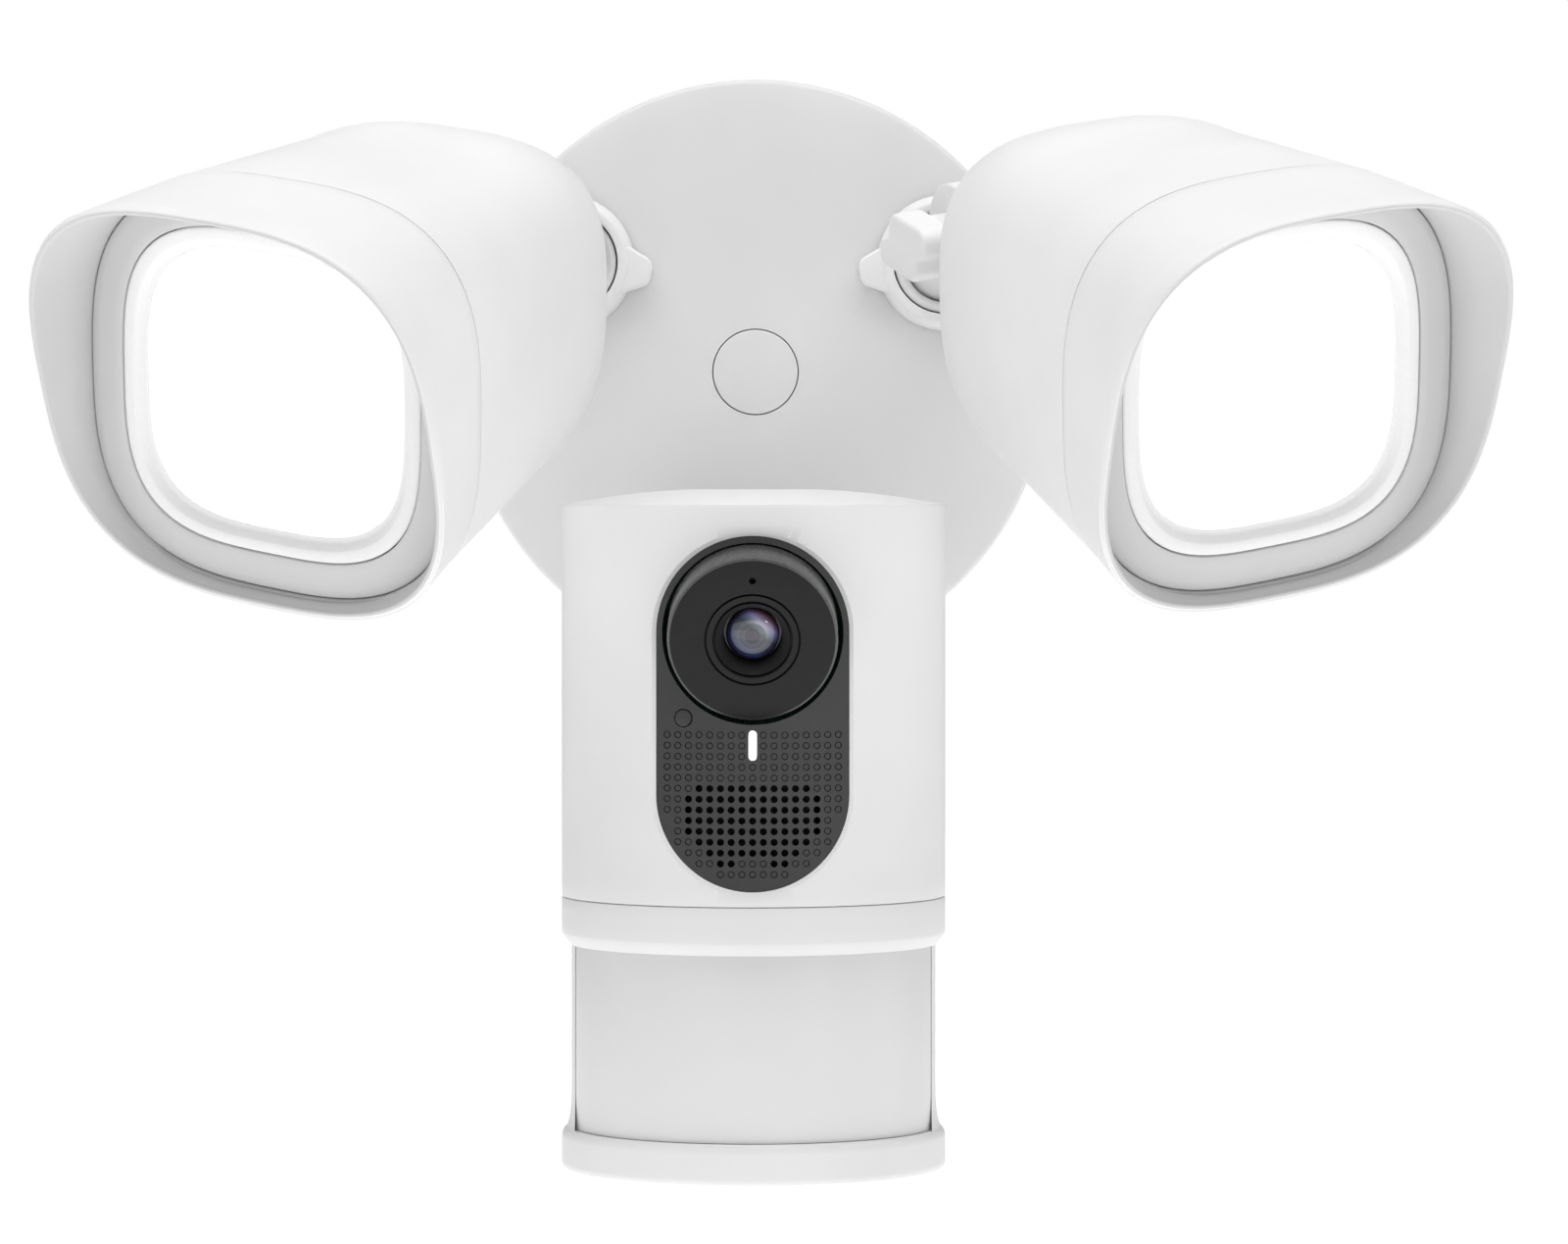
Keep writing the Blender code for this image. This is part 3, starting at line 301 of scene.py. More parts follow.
def round_outline(x, z, radius, count):
    turns = [2 * math.pi * i / count for i in range(count)]
    return [(x + radius * math.cos(t), z + radius * math.sin(t)) for t in turns]


def tube_along(start, end, radius, count=48):
    start = Vector(start)
    end = Vector(end)
    mesh = loft([ring_points(radius, 0.0, count), ring_points(radius, (end - start).length, count)])
    turn = (end - start).to_track_quat("Z", "Y").to_matrix().to_4x4()
    bmesh.ops.transform(mesh, matrix=Matrix.Translation(start) @ turn, verts=mesh.verts)
    return mesh


def block(low, high):
    corners = [(low[0], low[1]), (high[0], low[1]), (high[0], high[1]), (low[0], high[1])]
    return loft([[Vector((x, y, level)) for x, y in corners] for level in (low[2], high[2])])


def turned(mesh, placement):
    bmesh.ops.transform(mesh, matrix=placement, verts=mesh.verts)
    return mesh


def turn_about(axis, degrees):
    return Matrix.Rotation(math.radians(degrees), 4, axis)


def to_object(name, mesh, placement=Matrix.Identity(4)):
    bmesh.ops.recalc_face_normals(mesh, faces=mesh.faces)
    if mesh.calc_volume(signed=True) < 0:
        bmesh.ops.reverse_faces(mesh, faces=mesh.faces)
    bmesh.ops.scale(mesh, vec=(MM, MM, MM), verts=mesh.verts)
    data = bpy.data.meshes.new(name)
    mesh.to_mesh(data)
    mesh.free()
    thing = bpy.data.objects.new(name, data)
    bpy.context.scene.collection.objects.link(thing)
    scaled = placement.copy()
    scaled.translation = placement.translation * MM
    thing.matrix_world = scaled
    return thing


def carve(thing, operation, meshes):
    """Cuts or joins tools given in the thing's own axes, and keeps the result as its mesh."""
    for number, mesh in enumerate(meshes):
        tool = to_object(f"tool_{number}", mesh)
        tool.matrix_world = thing.matrix_world
        modifier = thing.modifiers.new("carve", "BOOLEAN")
        modifier.operation = operation
        modifier.solver = "EXACT"
        modifier.object = tool
        bpy.context.view_layer.update()
        graph = bpy.context.evaluated_depsgraph_get()
        result = bpy.data.meshes.new_from_object(thing.evaluated_get(graph))
        thing.modifiers.clear()
        thing.data = result
        bpy.data.objects.remove(tool)


def finish_piece(thing, body, material, replaced=(), sharp=32.0, edge=0.0, baked=True):
    """Shading, optional rounded edges, material, and the frame's bookkeeping for a piece."""
    thing.data.materials.append(material)
    if edge:
        modifier = thing.modifiers.new("rounded edges", "BEVEL")
        modifier.width = edge * MM
        modifier.segments = 2
        modifier.limit_method = "ANGLE"
        modifier.angle_limit = math.radians(sharp)
        modifier.harden_normals = True
    if baked:
        thing.data.transform(thing.matrix_world)
        thing.matrix_world = Matrix.Identity(4)
    thing.data.shade_smooth()
    if not edge:
        thing.data.set_sharp_from_angle(angle=math.radians(sharp))
    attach(thing, body)
    if replaced:
        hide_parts(*replaced)


# ------------------------------------------------------------------------------------ materials

def new_material(name):
    material = bpy.data.materials.new(name)
    material.use_nodes = True
    tree = material.node_tree
    return material, tree, tree.nodes["Principled BSDF"]


def noise(tree, scale, detail=3.0, roughness=0.55):
    coordinates = tree.nodes.new("ShaderNodeTexCoord")
    texture = tree.nodes.new("ShaderNodeTexNoise")
    texture.inputs["Scale"].default_value = scale
    texture.inputs["Detail"].default_value = detail
    texture.inputs["Roughness"].default_value = roughness
    tree.links.new(coordinates.outputs["Object"], texture.inputs["Vector"])
    return texture.outputs["Fac"]


def ramp(tree, source, stops, target):
    """Sends a 0 to 1 source through colour stops into a target socket."""
    node = tree.nodes.new("ShaderNodeValToRGB")
    elements = node.color_ramp.elements
    while len(elements) < len(stops):
        elements.new(0.5)
    for element, (place, colour) in zip(elements, stops):
        element.position = place
        element.color = (*colour, 1.0)
    tree.links.new(source, node.inputs["Fac"])
    tree.links.new(node.outputs["Color"], target)


def bump(tree, shader, source, strength, distance):
    node = tree.nodes.new("ShaderNodeBump")
    node.inputs["Strength"].default_value = strength
    node.inputs["Distance"].default_value = distance
    tree.links.new(source, node.inputs["Height"])
    tree.links.new(node.outputs["Normal"], shader.inputs["Normal"])


def grey(value):
    return (value, value, value)


def moulded(name, colour, rough, grain=2600.0, strength=0.12, spread=0.03, metallic=0.0, specular=0.45):
    """Moulded or cast surface: fine spark-eroded grain, slow changes of tone, uneven gloss."""
    material, tree, shader = new_material(name)
    shader.inputs["Metallic"].default_value = metallic
    shader.inputs["Specular IOR Level"].default_value = specular
    slow = noise(tree, 22.0, 2.0)
    dark = tuple(part * (1 - spread) for part in colour)
    light = tuple(min(1.0, part * (1 + spread)) for part in colour)
    ramp(tree, slow, [(0.3, dark), (0.7, light)], shader.inputs["Base Color"])
    middle = noise(tree, 420.0, 3.0)
    ramp(tree, middle, [(0.25, grey(rough - 0.06)), (0.75, grey(rough + 0.06))], shader.inputs["Roughness"])
    bump(tree, shader, noise(tree, grain, 4.0, 0.6), strength, 0.00006)
    return material


def brushed(name, colour, rough):
    """Rolled and plated steel: streaks along X and a faint spangle."""
    material, tree, shader = new_material(name)
    shader.inputs["Metallic"].default_value = 1.0
    coordinates = tree.nodes.new("ShaderNodeTexCoord")
    stretch = tree.nodes.new("ShaderNodeMapping")
    stretch.inputs["Scale"].default_value = (60.0, 2400.0, 2400.0)
    streaks = tree.nodes.new("ShaderNodeTexNoise")
    streaks.inputs["Scale"].default_value = 1.0
    streaks.inputs["Detail"].default_value = 4.0
    tree.links.new(coordinates.outputs["Object"], stretch.inputs["Vector"])
    tree.links.new(stretch.outputs["Vector"], streaks.inputs["Vector"])
    dark = tuple(part * 0.86 for part in colour)
    ramp(tree, streaks.outputs["Fac"], [(0.3, dark), (0.7, colour)], shader.inputs["Base Color"])
    gloss = [(0.3, grey(rough - 0.07)), (0.7, grey(rough + 0.09))]
    ramp(tree, noise(tree, 300.0), gloss, shader.inputs["Roughness"])
    bump(tree, shader, streaks.outputs["Fac"], 0.08, 0.00004)
    return material


def circuit(name, mask, copper):
    """Solder mask with traces and pads from a brick pattern."""
    material, tree, shader = new_material(name)
    coordinates = tree.nodes.new("ShaderNodeTexCoord")
    bricks = tree.nodes.new("ShaderNodeTexBrick")
    bricks.inputs["Scale"].default_value = 260.0
    bricks.inputs["Mortar Size"].default_value = 0.03
    bricks.inputs["Color1"].default_value = (*mask, 1.0)
    bricks.inputs["Color2"].default_value = (*tuple(part * 1.25 for part in mask), 1.0)
    bricks.inputs["Mortar"].default_value = (*copper, 1.0)
    tree.links.new(coordinates.outputs["Object"], bricks.inputs["Vector"])
    tree.links.new(bricks.outputs["Color"], shader.inputs["Base Color"])
    ramp(tree, noise(tree, 900.0), [(0.3, grey(0.32)), (0.7, grey(0.5))], shader.inputs["Roughness"])
    bump(tree, shader, bricks.outputs["Fac"], 0.2, 0.00003)
    return material


def lit(name, colour, strength, rough, edge_level):
    """A lit diffuser: even white light with a faint prismatic grain under a satin skin."""
    material, tree, shader = new_material(name)
    shader.inputs["Emission Strength"].default_value = strength
    cells = noise(tree, 1400.0, 2.0)
    ramp(tree, cells, [(0.3, grey(edge_level)), (0.7, grey(1.0))], shader.inputs["Emission Color"])
    ramp(tree, cells, [(0.3, grey(0.84)), (0.7, colour)], shader.inputs["Base Color"])
    ramp(tree, noise(tree, 300.0), [(0.3, grey(rough)), (0.7, grey(rough + 0.1))], shader.inputs["Roughness"])
    bump(tree, shader, cells, 0.05, 0.00005)
    return material


def coated_glass(name):
    """The front element: a dark well with coloured coating rings around the optical axis (local Z), times a tint
    along a slant that paints coloured reflections and a highlight towards the upper right.
    """
    material, tree, shader = new_material(name)
    coordinates = tree.nodes.new("ShaderNodeTexCoord")
    flat = tree.nodes.new("ShaderNodeVectorMath")
    flat.operation = "MULTIPLY"
    flat.inputs[1].default_value = (186.0, 186.0, 0.0)
    length = tree.nodes.new("ShaderNodeVectorMath")
    length.operation = "LENGTH"
    tree.links.new(coordinates.outputs["Object"], flat.inputs[0])
    tree.links.new(flat.outputs["Vector"], length.inputs[0])
    # Rings of the inner elements drawn as colour; their lighter bands and pink centre are partly painted
    # reflection.
    rings = [
        (0.00, (0.30, 0.10, 0.28)),
        (0.04, (0.016, 0.014, 0.020)),
        (0.10, (0.050, 0.045, 0.054)),
        (0.27, (0.040, 0.038, 0.046)),
        (0.30, (0.090, 0.087, 0.094)),
        (0.48, (0.065, 0.068, 0.072)),
        (0.52, (0.115, 0.118, 0.120)),
        (0.66, (0.055, 0.060, 0.078)),
        (0.80, (0.034, 0.040, 0.070)),
        (0.92, (0.018, 0.014, 0.032)),
        (1.00, (0.006, 0.005, 0.008)),
    ]
    slant = tree.nodes.new("ShaderNodeVectorMath")
    slant.operation = "DOT_PRODUCT"
    slant.inputs[1].default_value = (62.0, 74.0, 0.0)
    tree.links.new(coordinates.outputs["Object"], slant.inputs[0])
    middle = tree.nodes.new("ShaderNodeMath")
    middle.inputs[1].default_value = 0.5
    tree.links.new(slant.outputs["Value"], middle.inputs[0])
    mix = tree.nodes.new("ShaderNodeMix")
    mix.data_type = "RGBA"
    mix.blend_type = "MULTIPLY"
    mix.inputs["Factor"].default_value = 1.0
    # Tint along the slant: painted coloured reflections, and a painted highlight (values above 1) towards the
    # upper right.
    painted_reflection_tint = [
        (0.00, (0.50, 0.42, 0.75)),
        (0.22, (0.60, 0.80, 1.20)),
        (0.42, (0.75, 0.72, 0.78)),
        (0.62, (0.85, 1.00, 0.88)),
        (0.72, (2.20, 2.70, 2.70)),
        (0.82, (6.00, 5.20, 5.60)),
        (0.90, (5.00, 3.20, 2.60)),
        (1.00, (3.40, 1.50, 0.80)),
    ]
    ramp(tree, length.outputs["Value"], rings, mix.inputs["A"])
    ramp(tree, middle.outputs["Value"], painted_reflection_tint, mix.inputs["B"])
    tree.links.new(mix.outputs["Result"], shader.inputs["Base Color"])
    shader.inputs["Roughness"].default_value = 0.04
    shader.inputs["Specular IOR Level"].default_value = 0.5
    shader.inputs["Coat Weight"].default_value = 1.0
    shader.inputs["Coat Roughness"].default_value = 0.02
    shader.inputs["Coat Tint"].default_value = (0.95, 0.92, 1.0, 1.0)
    layer = tree.nodes.new("ShaderNodeLayerWeight")
    layer.inputs["Blend"].default_value = 0.35
    sheen = [
        (0.00, (0.50, 0.55, 0.60)),
        (0.35, (0.50, 0.42, 0.60)),
        (0.70, (0.70, 0.50, 0.35)),
        (1.00, (0.90, 0.90, 0.90)),
    ]
    ramp(tree, layer.outputs["Facing"], sheen, shader.inputs["Specular Tint"])
    bump(tree, shader, noise(tree, 2000.0), 0.004, 0.00002)
    return material


LOOKS = {
    "white_plastic": moulded("white_plastic", grey(0.80), 0.44),
    "visor_plastic": moulded("visor_plastic", grey(0.79), 0.46),
    # Inside of the lamp hoods: the hood plastic made darker, as painted shade.
    "hood_inside_painted_shade": moulded("hood_inside_painted_shade", grey(0.62), 0.50),
    "trim_plastic": moulded("trim_plastic", grey(0.64), 0.46),
    "base_plastic": moulded("base_plastic", grey(0.72), 0.50, strength=0.16),
    "diffuser_frame": lit("diffuser_frame", grey(0.86), 0.05, 0.35, 0.9),
    "diffuser": lit("diffuser", grey(0.95), 0.32, 0.30, 0.97),
    "milky_window": moulded("milky_window", grey(0.76), 0.34, grain=1500.0, strength=0.05),
    "dark_panel": moulded("dark_panel", grey(0.046), 0.44, spread=0.10, strength=0.10, specular=0.35),
    "dark_turret": moulded("dark_turret", grey(0.015), 0.50, spread=0.08, strength=0.06, specular=0.18),
    # Turret's side wall: the turret plastic made lighter, as painted light on the wall.
    "turret_side_painted_light": moulded("turret_side_painted_light", grey(0.050), 0.30, spread=0.02, strength=0.006, specular=0.7),
    "dark_gloss": moulded("dark_gloss", grey(0.012), 0.16, spread=0.10, strength=0.02),
    "inner_plastic": moulded("inner_plastic", grey(0.08), 0.55, spread=0.10),
    "status_light": lit("status_light", grey(0.95), 2.2, 0.25, 0.95),
    "lens_glass": coated_glass("lens_glass"),
    "steel": brushed("steel", (0.62, 0.63, 0.65), 0.32),
    "aluminium": moulded("aluminium", (0.70, 0.71, 0.72), 0.40, grain=900.0, strength=0.25, metallic=1.0),
    "reflector": moulded("reflector", grey(0.88), 0.14, strength=0.03, metallic=1.0),
    "rubber": moulded("rubber", grey(0.06), 0.78, grain=1200.0, strength=0.3, spread=0.12),
    "circuit_board": circuit("circuit_board", (0.015, 0.13, 0.055), (0.10, 0.30, 0.10)),
    "led_board": circuit("led_board", (0.80, 0.80, 0.78), (0.55, 0.52, 0.45)),
}


# ------------------------------------------------------------------------------------ base

def dome_level(radius):
    return BASE_EDGE_HEIGHT + BASE_DOME_RISE * (1 - (radius / BASE_RADIUS) ** 2)


def wall_frame():
    """Local axes on the wall: X right, Y up, Z out from the wall."""
    return turn_about("X", 90.0)


def socket_frame(arm):
    turn = math.radians(ARMS[arm][0])
    x = SOCKET_CIRCLE_RADIUS * math.cos(turn)
    z = SOCKET_CIRCLE_RADIUS * math.sin(turn)
    return Matrix.Translation((x, -BALL_HEIGHT, z)) @ turn_about("X", 90.0)


def add_base():
    inner = BASE_RADIUS - BASE_WALL
    ceiling = [(r, dome_level(r) - BASE_WALL) for r in (4.0, 30.0, 50.0, inner - 2.0)]
    side = [(inner, dome_level(inner) - BASE_WALL - 2.0), (inner, BASE_BACK), (BASE_RADIUS, BASE_BACK)]
    bevel = []
    for step in range(7):
        turn = math.radians(90.0 * step / 6)
        radius = BASE_RADIUS - BASE_BEVEL * (1 - math.cos(turn))
        bevel.append((radius, dome_level(BASE_RADIUS) - BASE_BEVEL * (1 - math.sin(turn))))
    radii = (61.0, 58.0, 54.0, 50.0, 45.0, 40.0, 35.0, 30.0, 25.0, 20.0, 15.0, 10.6, 4.0)
    face = [(radius, dome_level(radius)) for radius in radii]
    shell = to_object("base_shell", lathe(ceiling + side + bevel + face, count=180), wall_frame())
    top = dome_level(0.0)
    floor = top - CAP_DEPTH
    boss = lathe([(CAP_RADIUS + BOSS_WALL, floor - 2.0), (CAP_RADIUS + BOSS_WALL, top - 1.0)])
    carve(shell, "UNION", [boss])
    cuts = [lathe([(CAP_RADIUS + CAP_GAP, floor), (CAP_RADIUS + CAP_GAP, CUT_HEIGHT)], count=128)]
    cuts.append(tube_along((0, 0, 0), (0, 0, CUT_HEIGHT), BOLT_RADIUS + GAP))
    for arm in ARMS:
        x, _, z = socket_frame(arm).translation
        cuts.append(tube_along((x, z, 0), (x, z, CUT_HEIGHT), SOCKET_HOLE_RADIUS, 96))
    carve(shell, "DIFFERENCE", cuts)
    finish_piece(shell, "base", LOOKS["base_plastic"], ["base_housing"], sharp=28.0)
    roof = top - 1.2
    inside = [(2.0, roof), (CAP_RADIUS - 1.3, roof), (CAP_RADIUS - 1.3, floor + GAP)]
    outside = soften([(CAP_RADIUS, floor + GAP), (CAP_RADIUS, top), (3.0, top)], 0.4)
    cap = to_object("bolt_cover", lathe(inside + outside, count=128), wall_frame())
    finish_piece(cap, "base", LOOKS["base_plastic"], ["bolt_cap"])


def add_socket(arm):
    place = socket_frame(arm)
    outer = SOCKET_HOLE_RADIUS - GAP
    hollow = BALL_RADIUS + 2 * GAP
    rim = soften([(outer, -2.2), (outer, 8.3), (9.9, 8.3), (8.6, 5.2)], 0.35)
    profile = [(8.8, -4.4), (outer + 2.0, -4.4), (outer + 2.0, -2.2)] + rim
    for step in range(8):
        turn = math.radians(28.0 - 6.0 * step)
        profile.append((hollow * math.cos(turn), hollow * math.sin(turn)))
    seat = to_object(f"seat_{arm}", lathe(profile, closed=True), place)
    finish_piece(seat, "base", LOOKS["base_plastic"], [f"ball_seat_{arm}"])
    low = dome_level(SOCKET_CIRCLE_RADIUS) - BALL_HEIGHT + 1.2
    high = low + 5.0
    outside = [(SOCKET_HOLE_RADIUS, low + 0.3), (SOCKET_HOLE_RADIUS + 0.3, low), (RING_RADIUS, low)]
    outside += [(RING_RADIUS - 0.5, low + 3.4), (RING_RADIUS - 1.7, high), (SOCKET_HOLE_RADIUS + 0.1, high)]
    outside += [(SOCKET_HOLE_RADIUS, low + 2.0)]
    ring = to_object(f"collar_{arm}", lathe(soften(outside, 0.6), closed=True, count=120), place)
    tab = [(11.9, -5.6, 1.0), (RING_TAB_RADIUS, -2.6, 2.5), (RING_TAB_RADIUS, 2.6, 2.5), (11.9, 5.6, 1.0)]
    spin = turn_about("Z", ARMS[arm][1])
    outline = rounded_outline(tab)
    wing = pillow(outline, low + 0.15, high - 0.5, 0.8, lambda a, b, c: spin @ Vector((a, b, c)))
    carve(ring, "UNION", [wing])
    replaced = [f"lock_ring_{arm}"]
    finish_piece(ring, f"ring_{arm}", LOOKS["white_plastic"], replaced, sharp=38.0)


# ------------------------------------------------------------------------------------ arms

def arm_frames(arm):
    """(stem frame at the ball, knuckle frame at the hinge) from the joints' axes."""
    hinge = JOINTS[f"tilt_{arm}"]
    ball = socket_frame(arm).translation
    across = Vector(hinge["axis"]).normalized()
    along = (Vector(hinge["pos_m"]) / MM - ball).normalized()
    up = along.cross(across).normalized()
    turn = Matrix((across, up, along)).transposed().to_4x4()
    stem = Matrix.Translation(ball) @ turn
    knuckle = Matrix.Translation(Vector(hinge["pos_m"]) / MM) @ turn
    return stem, knuckle


def knob_outline(turn):
    step = KNOB_HALF_LENGTH - KNOB_STEP
    half = [
        (KNOB_HALF_LENGTH, KNOB_HALF_HEIGHT, 3.2),
        (KNOB_HALF_LENGTH, 0.9, 2.4),
        (step, -0.9, 1.4),
        (step, -KNOB_HALF_HEIGHT, 3.2),
    ]
    corners = half + [(-x, -y, radius) for x, y, radius in half]
    spin = Matrix.Rotation(math.radians(turn), 2)
    return [spin @ point for point in rounded_outline(corners)]


def add_arm(arm, ears, knob_body, knob_frame, knob_shift, knob_turn):
    stem_place, _ = arm_frames(arm)
    ear_inner, ear_outer, ear_radius = ears
    neck = STEM_LENGTH - ear_radius - 2.0
    ball = []
    for step in range(21):
        turn = math.radians(-70.0 + 6.1 * step)
        ball.append((BALL_RADIUS * math.cos(turn), BALL_RADIUS * math.sin(turn)))
    shaft = [(SHAFT_RADIUS, BALL_RADIUS * 0.92), (SHAFT_RADIUS, neck - 2.5), (SHAFT_RADIUS + 1.2, neck)]
    shaft.append((SHAFT_RADIUS + 1.2, neck + 1.5))
    stem = to_object(f"stem_{arm}", lathe(ball + soften(shaft, 1.2), count=80), stem_place)
    steps = 40
    outline = [(-TONGUE_RADIUS, neck + 0.6), (TONGUE_RADIUS, neck + 0.6)]
    for step in range(steps + 1):
        turn = math.pi * step / steps
        outline.append((TONGUE_RADIUS * math.cos(turn), STEM_LENGTH + TONGUE_RADIUS * math.sin(turn)))
    half = ear_inner - GAP
    tongue = loft([[Vector((x, y, z)) for y, z in outline] for x in (-half, half)])
    carve(stem, "UNION", [tongue])
    hole = tube_along((-PIN_REACH, 0, STEM_LENGTH), (PIN_REACH, 0, STEM_LENGTH), PIN_RADIUS + GAP)
    carve(stem, "DIFFERENCE", [hole])
    replaced = [f"ball_stem_{arm}"]
    finish_piece(stem, f"stem_{arm}", LOOKS["white_plastic"], replaced, edge=0.35)
    low = knob_shift - KNOB_OUTER
    high = knob_shift - KNOB_INNER
    wing = pillow(knob_outline(knob_turn), low, high, 0.9, lambda a, b, c: Vector((c, b, a)))
    knob = to_object(f"knob_{arm}", wing, knob_frame)
    carve(knob, "UNION", [tube_along((high - 1.5, 0, 0), (-ear_outer - GAP, 0, 0), 5.9, 96)])
    carve(knob, "DIFFERENCE", [tube_along((low + 2.2, 0, 0), (0, 0, 0), PIN_RADIUS + GAP)])
    finish_piece(knob, knob_body, LOOKS["white_plastic"], [f"wing_knob_{arm}"], sharp=38.0)


def ear_outline(radius, reach, steps=40):
    outline = []
    for step in range(steps + 1):
        turn = math.pi + math.pi * step / steps
        outline.append((radius * math.cos(turn), radius * math.sin(turn)))
    return outline + [(radius, reach), (-radius, reach)]


# ------------------------------------------------------------------------------------ lamps

def body_half(level):
    return SEAM_HALF - BACK_TAPER * (SEAM_LEVEL - level)


def lamp_housing_mesh():
    start = SEAM_LEVEL - SEAM_HALF_GAP
    inner = []
    inner_start = body_half(DOME_START) - LAMP_WALL
    for step in range(9):
        turn = math.radians(80.0 - 10.0 * step)
        level = DOME_START - (DOME_DEPTH - DOME_BACK_WALL) * math.sin(turn)
        inner.append(lamp_ring(inner_start * math.cos(turn), level))
    inner.append(lamp_ring(body_half(start) - LAMP_WALL, start))
    outer = [lamp_ring(body_half(start) - 0.18, start)]
    outer.append(lamp_ring(body_half(start) - 0.04, start - 0.06))
    for level in (start - 0.2, start - 1.0, -16.0, -24.0, -32.0, -40.0, -49.0, DOME_START):
        outer.append(lamp_ring(body_half(level), level))
    for step in range(1, 28):
        turn = math.radians(3.15 * step)
        level = DOME_START - DOME_DEPTH * math.sin(turn)
        outer.append(lamp_ring(body_half(DOME_START) * math.cos(turn), level))
    return loft(inner + outer)


def visor_mesh():
    """The hood, with the second material on its inside: a darker copy of the hood plastic as painted shade."""
    start = SEAM_LEVEL + SEAM_HALF_GAP

    def outer_half(level):
        return SEAM_HALF + VISOR_FLARE * (level - SEAM_LEVEL)

    rings = [lamp_ring(SEAM_HALF - 0.18, start)]
    rings.append(lamp_ring(SEAM_HALF - 0.04, start + 0.06))
    for step in range(9):
        share = 0.95 * step / 8
        level = start + 0.2 + share * (RIM_LEVEL - start - 0.2)
        rings.append(lamp_ring(outer_half(level), level, RIM_SLOPE * share))
    tip = outer_half(RIM_LEVEL) - VISOR_TIP_INSET
    for step in range(9):
        turn = math.pi * step / 8
        inset = VISOR_LIP * (1 - math.cos(turn))
        level = RIM_LEVEL - VISOR_LIP * (1 - math.sin(turn))
        rings.append(lamp_ring(tip - inset, level, RIM_SLOPE))
    outside_rings = len(rings) - 5
    crease = VISOR_INNER_HALF + 0.15
    for step in range(1, 5):
        share = step / 5
        half = (tip - 2 * VISOR_LIP) * (1 - share) + crease * share
        level = (RIM_LEVEL - VISOR_LIP) * (1 - share) + CREASE_LEVEL * share
        rings.append(lamp_ring(half, level, RIM_SLOPE * (1 - CREASE_SLOPE_DROP * share)))
    rings.append(lamp_ring(crease, CREASE_LEVEL, RIM_SLOPE * (1 - CREASE_SLOPE_DROP)))
    rings.append(lamp_ring(VISOR_INNER_HALF, 0.0))
    rings.append(lamp_ring(VISOR_INNER_HALF - 0.6, start))
    mesh = loft(rings, closed=True)
    mesh.faces.ensure_lookup_table()
    # Faces from the lip inwards take the darker second material, painted shade inside the hood.
    for face in mesh.faces[(outside_rings - 1) * len(rings[0]):]:
        face.material_index = 1
    return mesh


def bezel_mesh():
    outer = VISOR_INNER_HALF - 0.25
    inner = DIFFUSER_HALF + 0.2
    rings = [lamp_ring(outer - 0.6, BEZEL_BACK), lamp_ring(outer, -1.6)]
    rings += [lamp_ring(outer - 0.08, -1.1), lamp_ring(outer - 0.45, -0.8)]
    for share in (0.25, 0.5, 0.75):
        half = outer - 0.45 + (inner + 0.4 - outer + 0.45) * share
        exponent = LAMP_EXPONENT + (DIFFUSER_EXPONENT - LAMP_EXPONENT) * share
        rings.append(rounded_square(half, exponent, -0.8 + 0.7 * share))
    rings += [diffuser_ring(inner + 0.4, -0.1), diffuser_ring(inner + 0.1, -0.2)]
    rings += [diffuser_ring(inner, -0.5), diffuser_ring(inner, BEZEL_BACK)]
    return loft(rings, closed=True)


def diffuser_frame_mesh():
    """The plain rim around the lit panel, with a rounded outer edge and a step down to the panel."""
    shape = [
        (0.3, BEZEL_BACK), (0.0, -0.9), (0.06, -0.5), (0.25, -0.28), (0.6, -0.2), (2.2, -0.2),
        (2.5, -0.35), (2.7, -0.7), (3.2, -1.6), (3.5, -1.85), (4.3, -1.9), (4.3, BEZEL_BACK),
    ]
    return loft([diffuser_ring(DIFFUSER_HALF - inset, level) for inset, level in shape], closed=True)


def diffuser_panel_mesh():
    """The lit panel, slightly crowned, seated in its frame."""
    side = DIFFUSER_HALF - 4.4
    rings = [rounded_square(4.0, DIFFUSER_MIDDLE_EXPONENT, PANEL_BACK)]
    rings += [diffuser_ring(side, PANEL_BACK), diffuser_ring(side, -2.3)]
    for step in range(13):
        share = step / 13
        half = (DIFFUSER_HALF - 4.7) * (1 - share) + 2.0 * share
        exponent = DIFFUSER_EXPONENT + (DIFFUSER_MIDDLE_EXPONENT - DIFFUSER_EXPONENT) * share
        rings.append(rounded_square(half, exponent, -2.0 + 0.9 * math.sin(share * math.pi / 2)))
    return loft(rings)


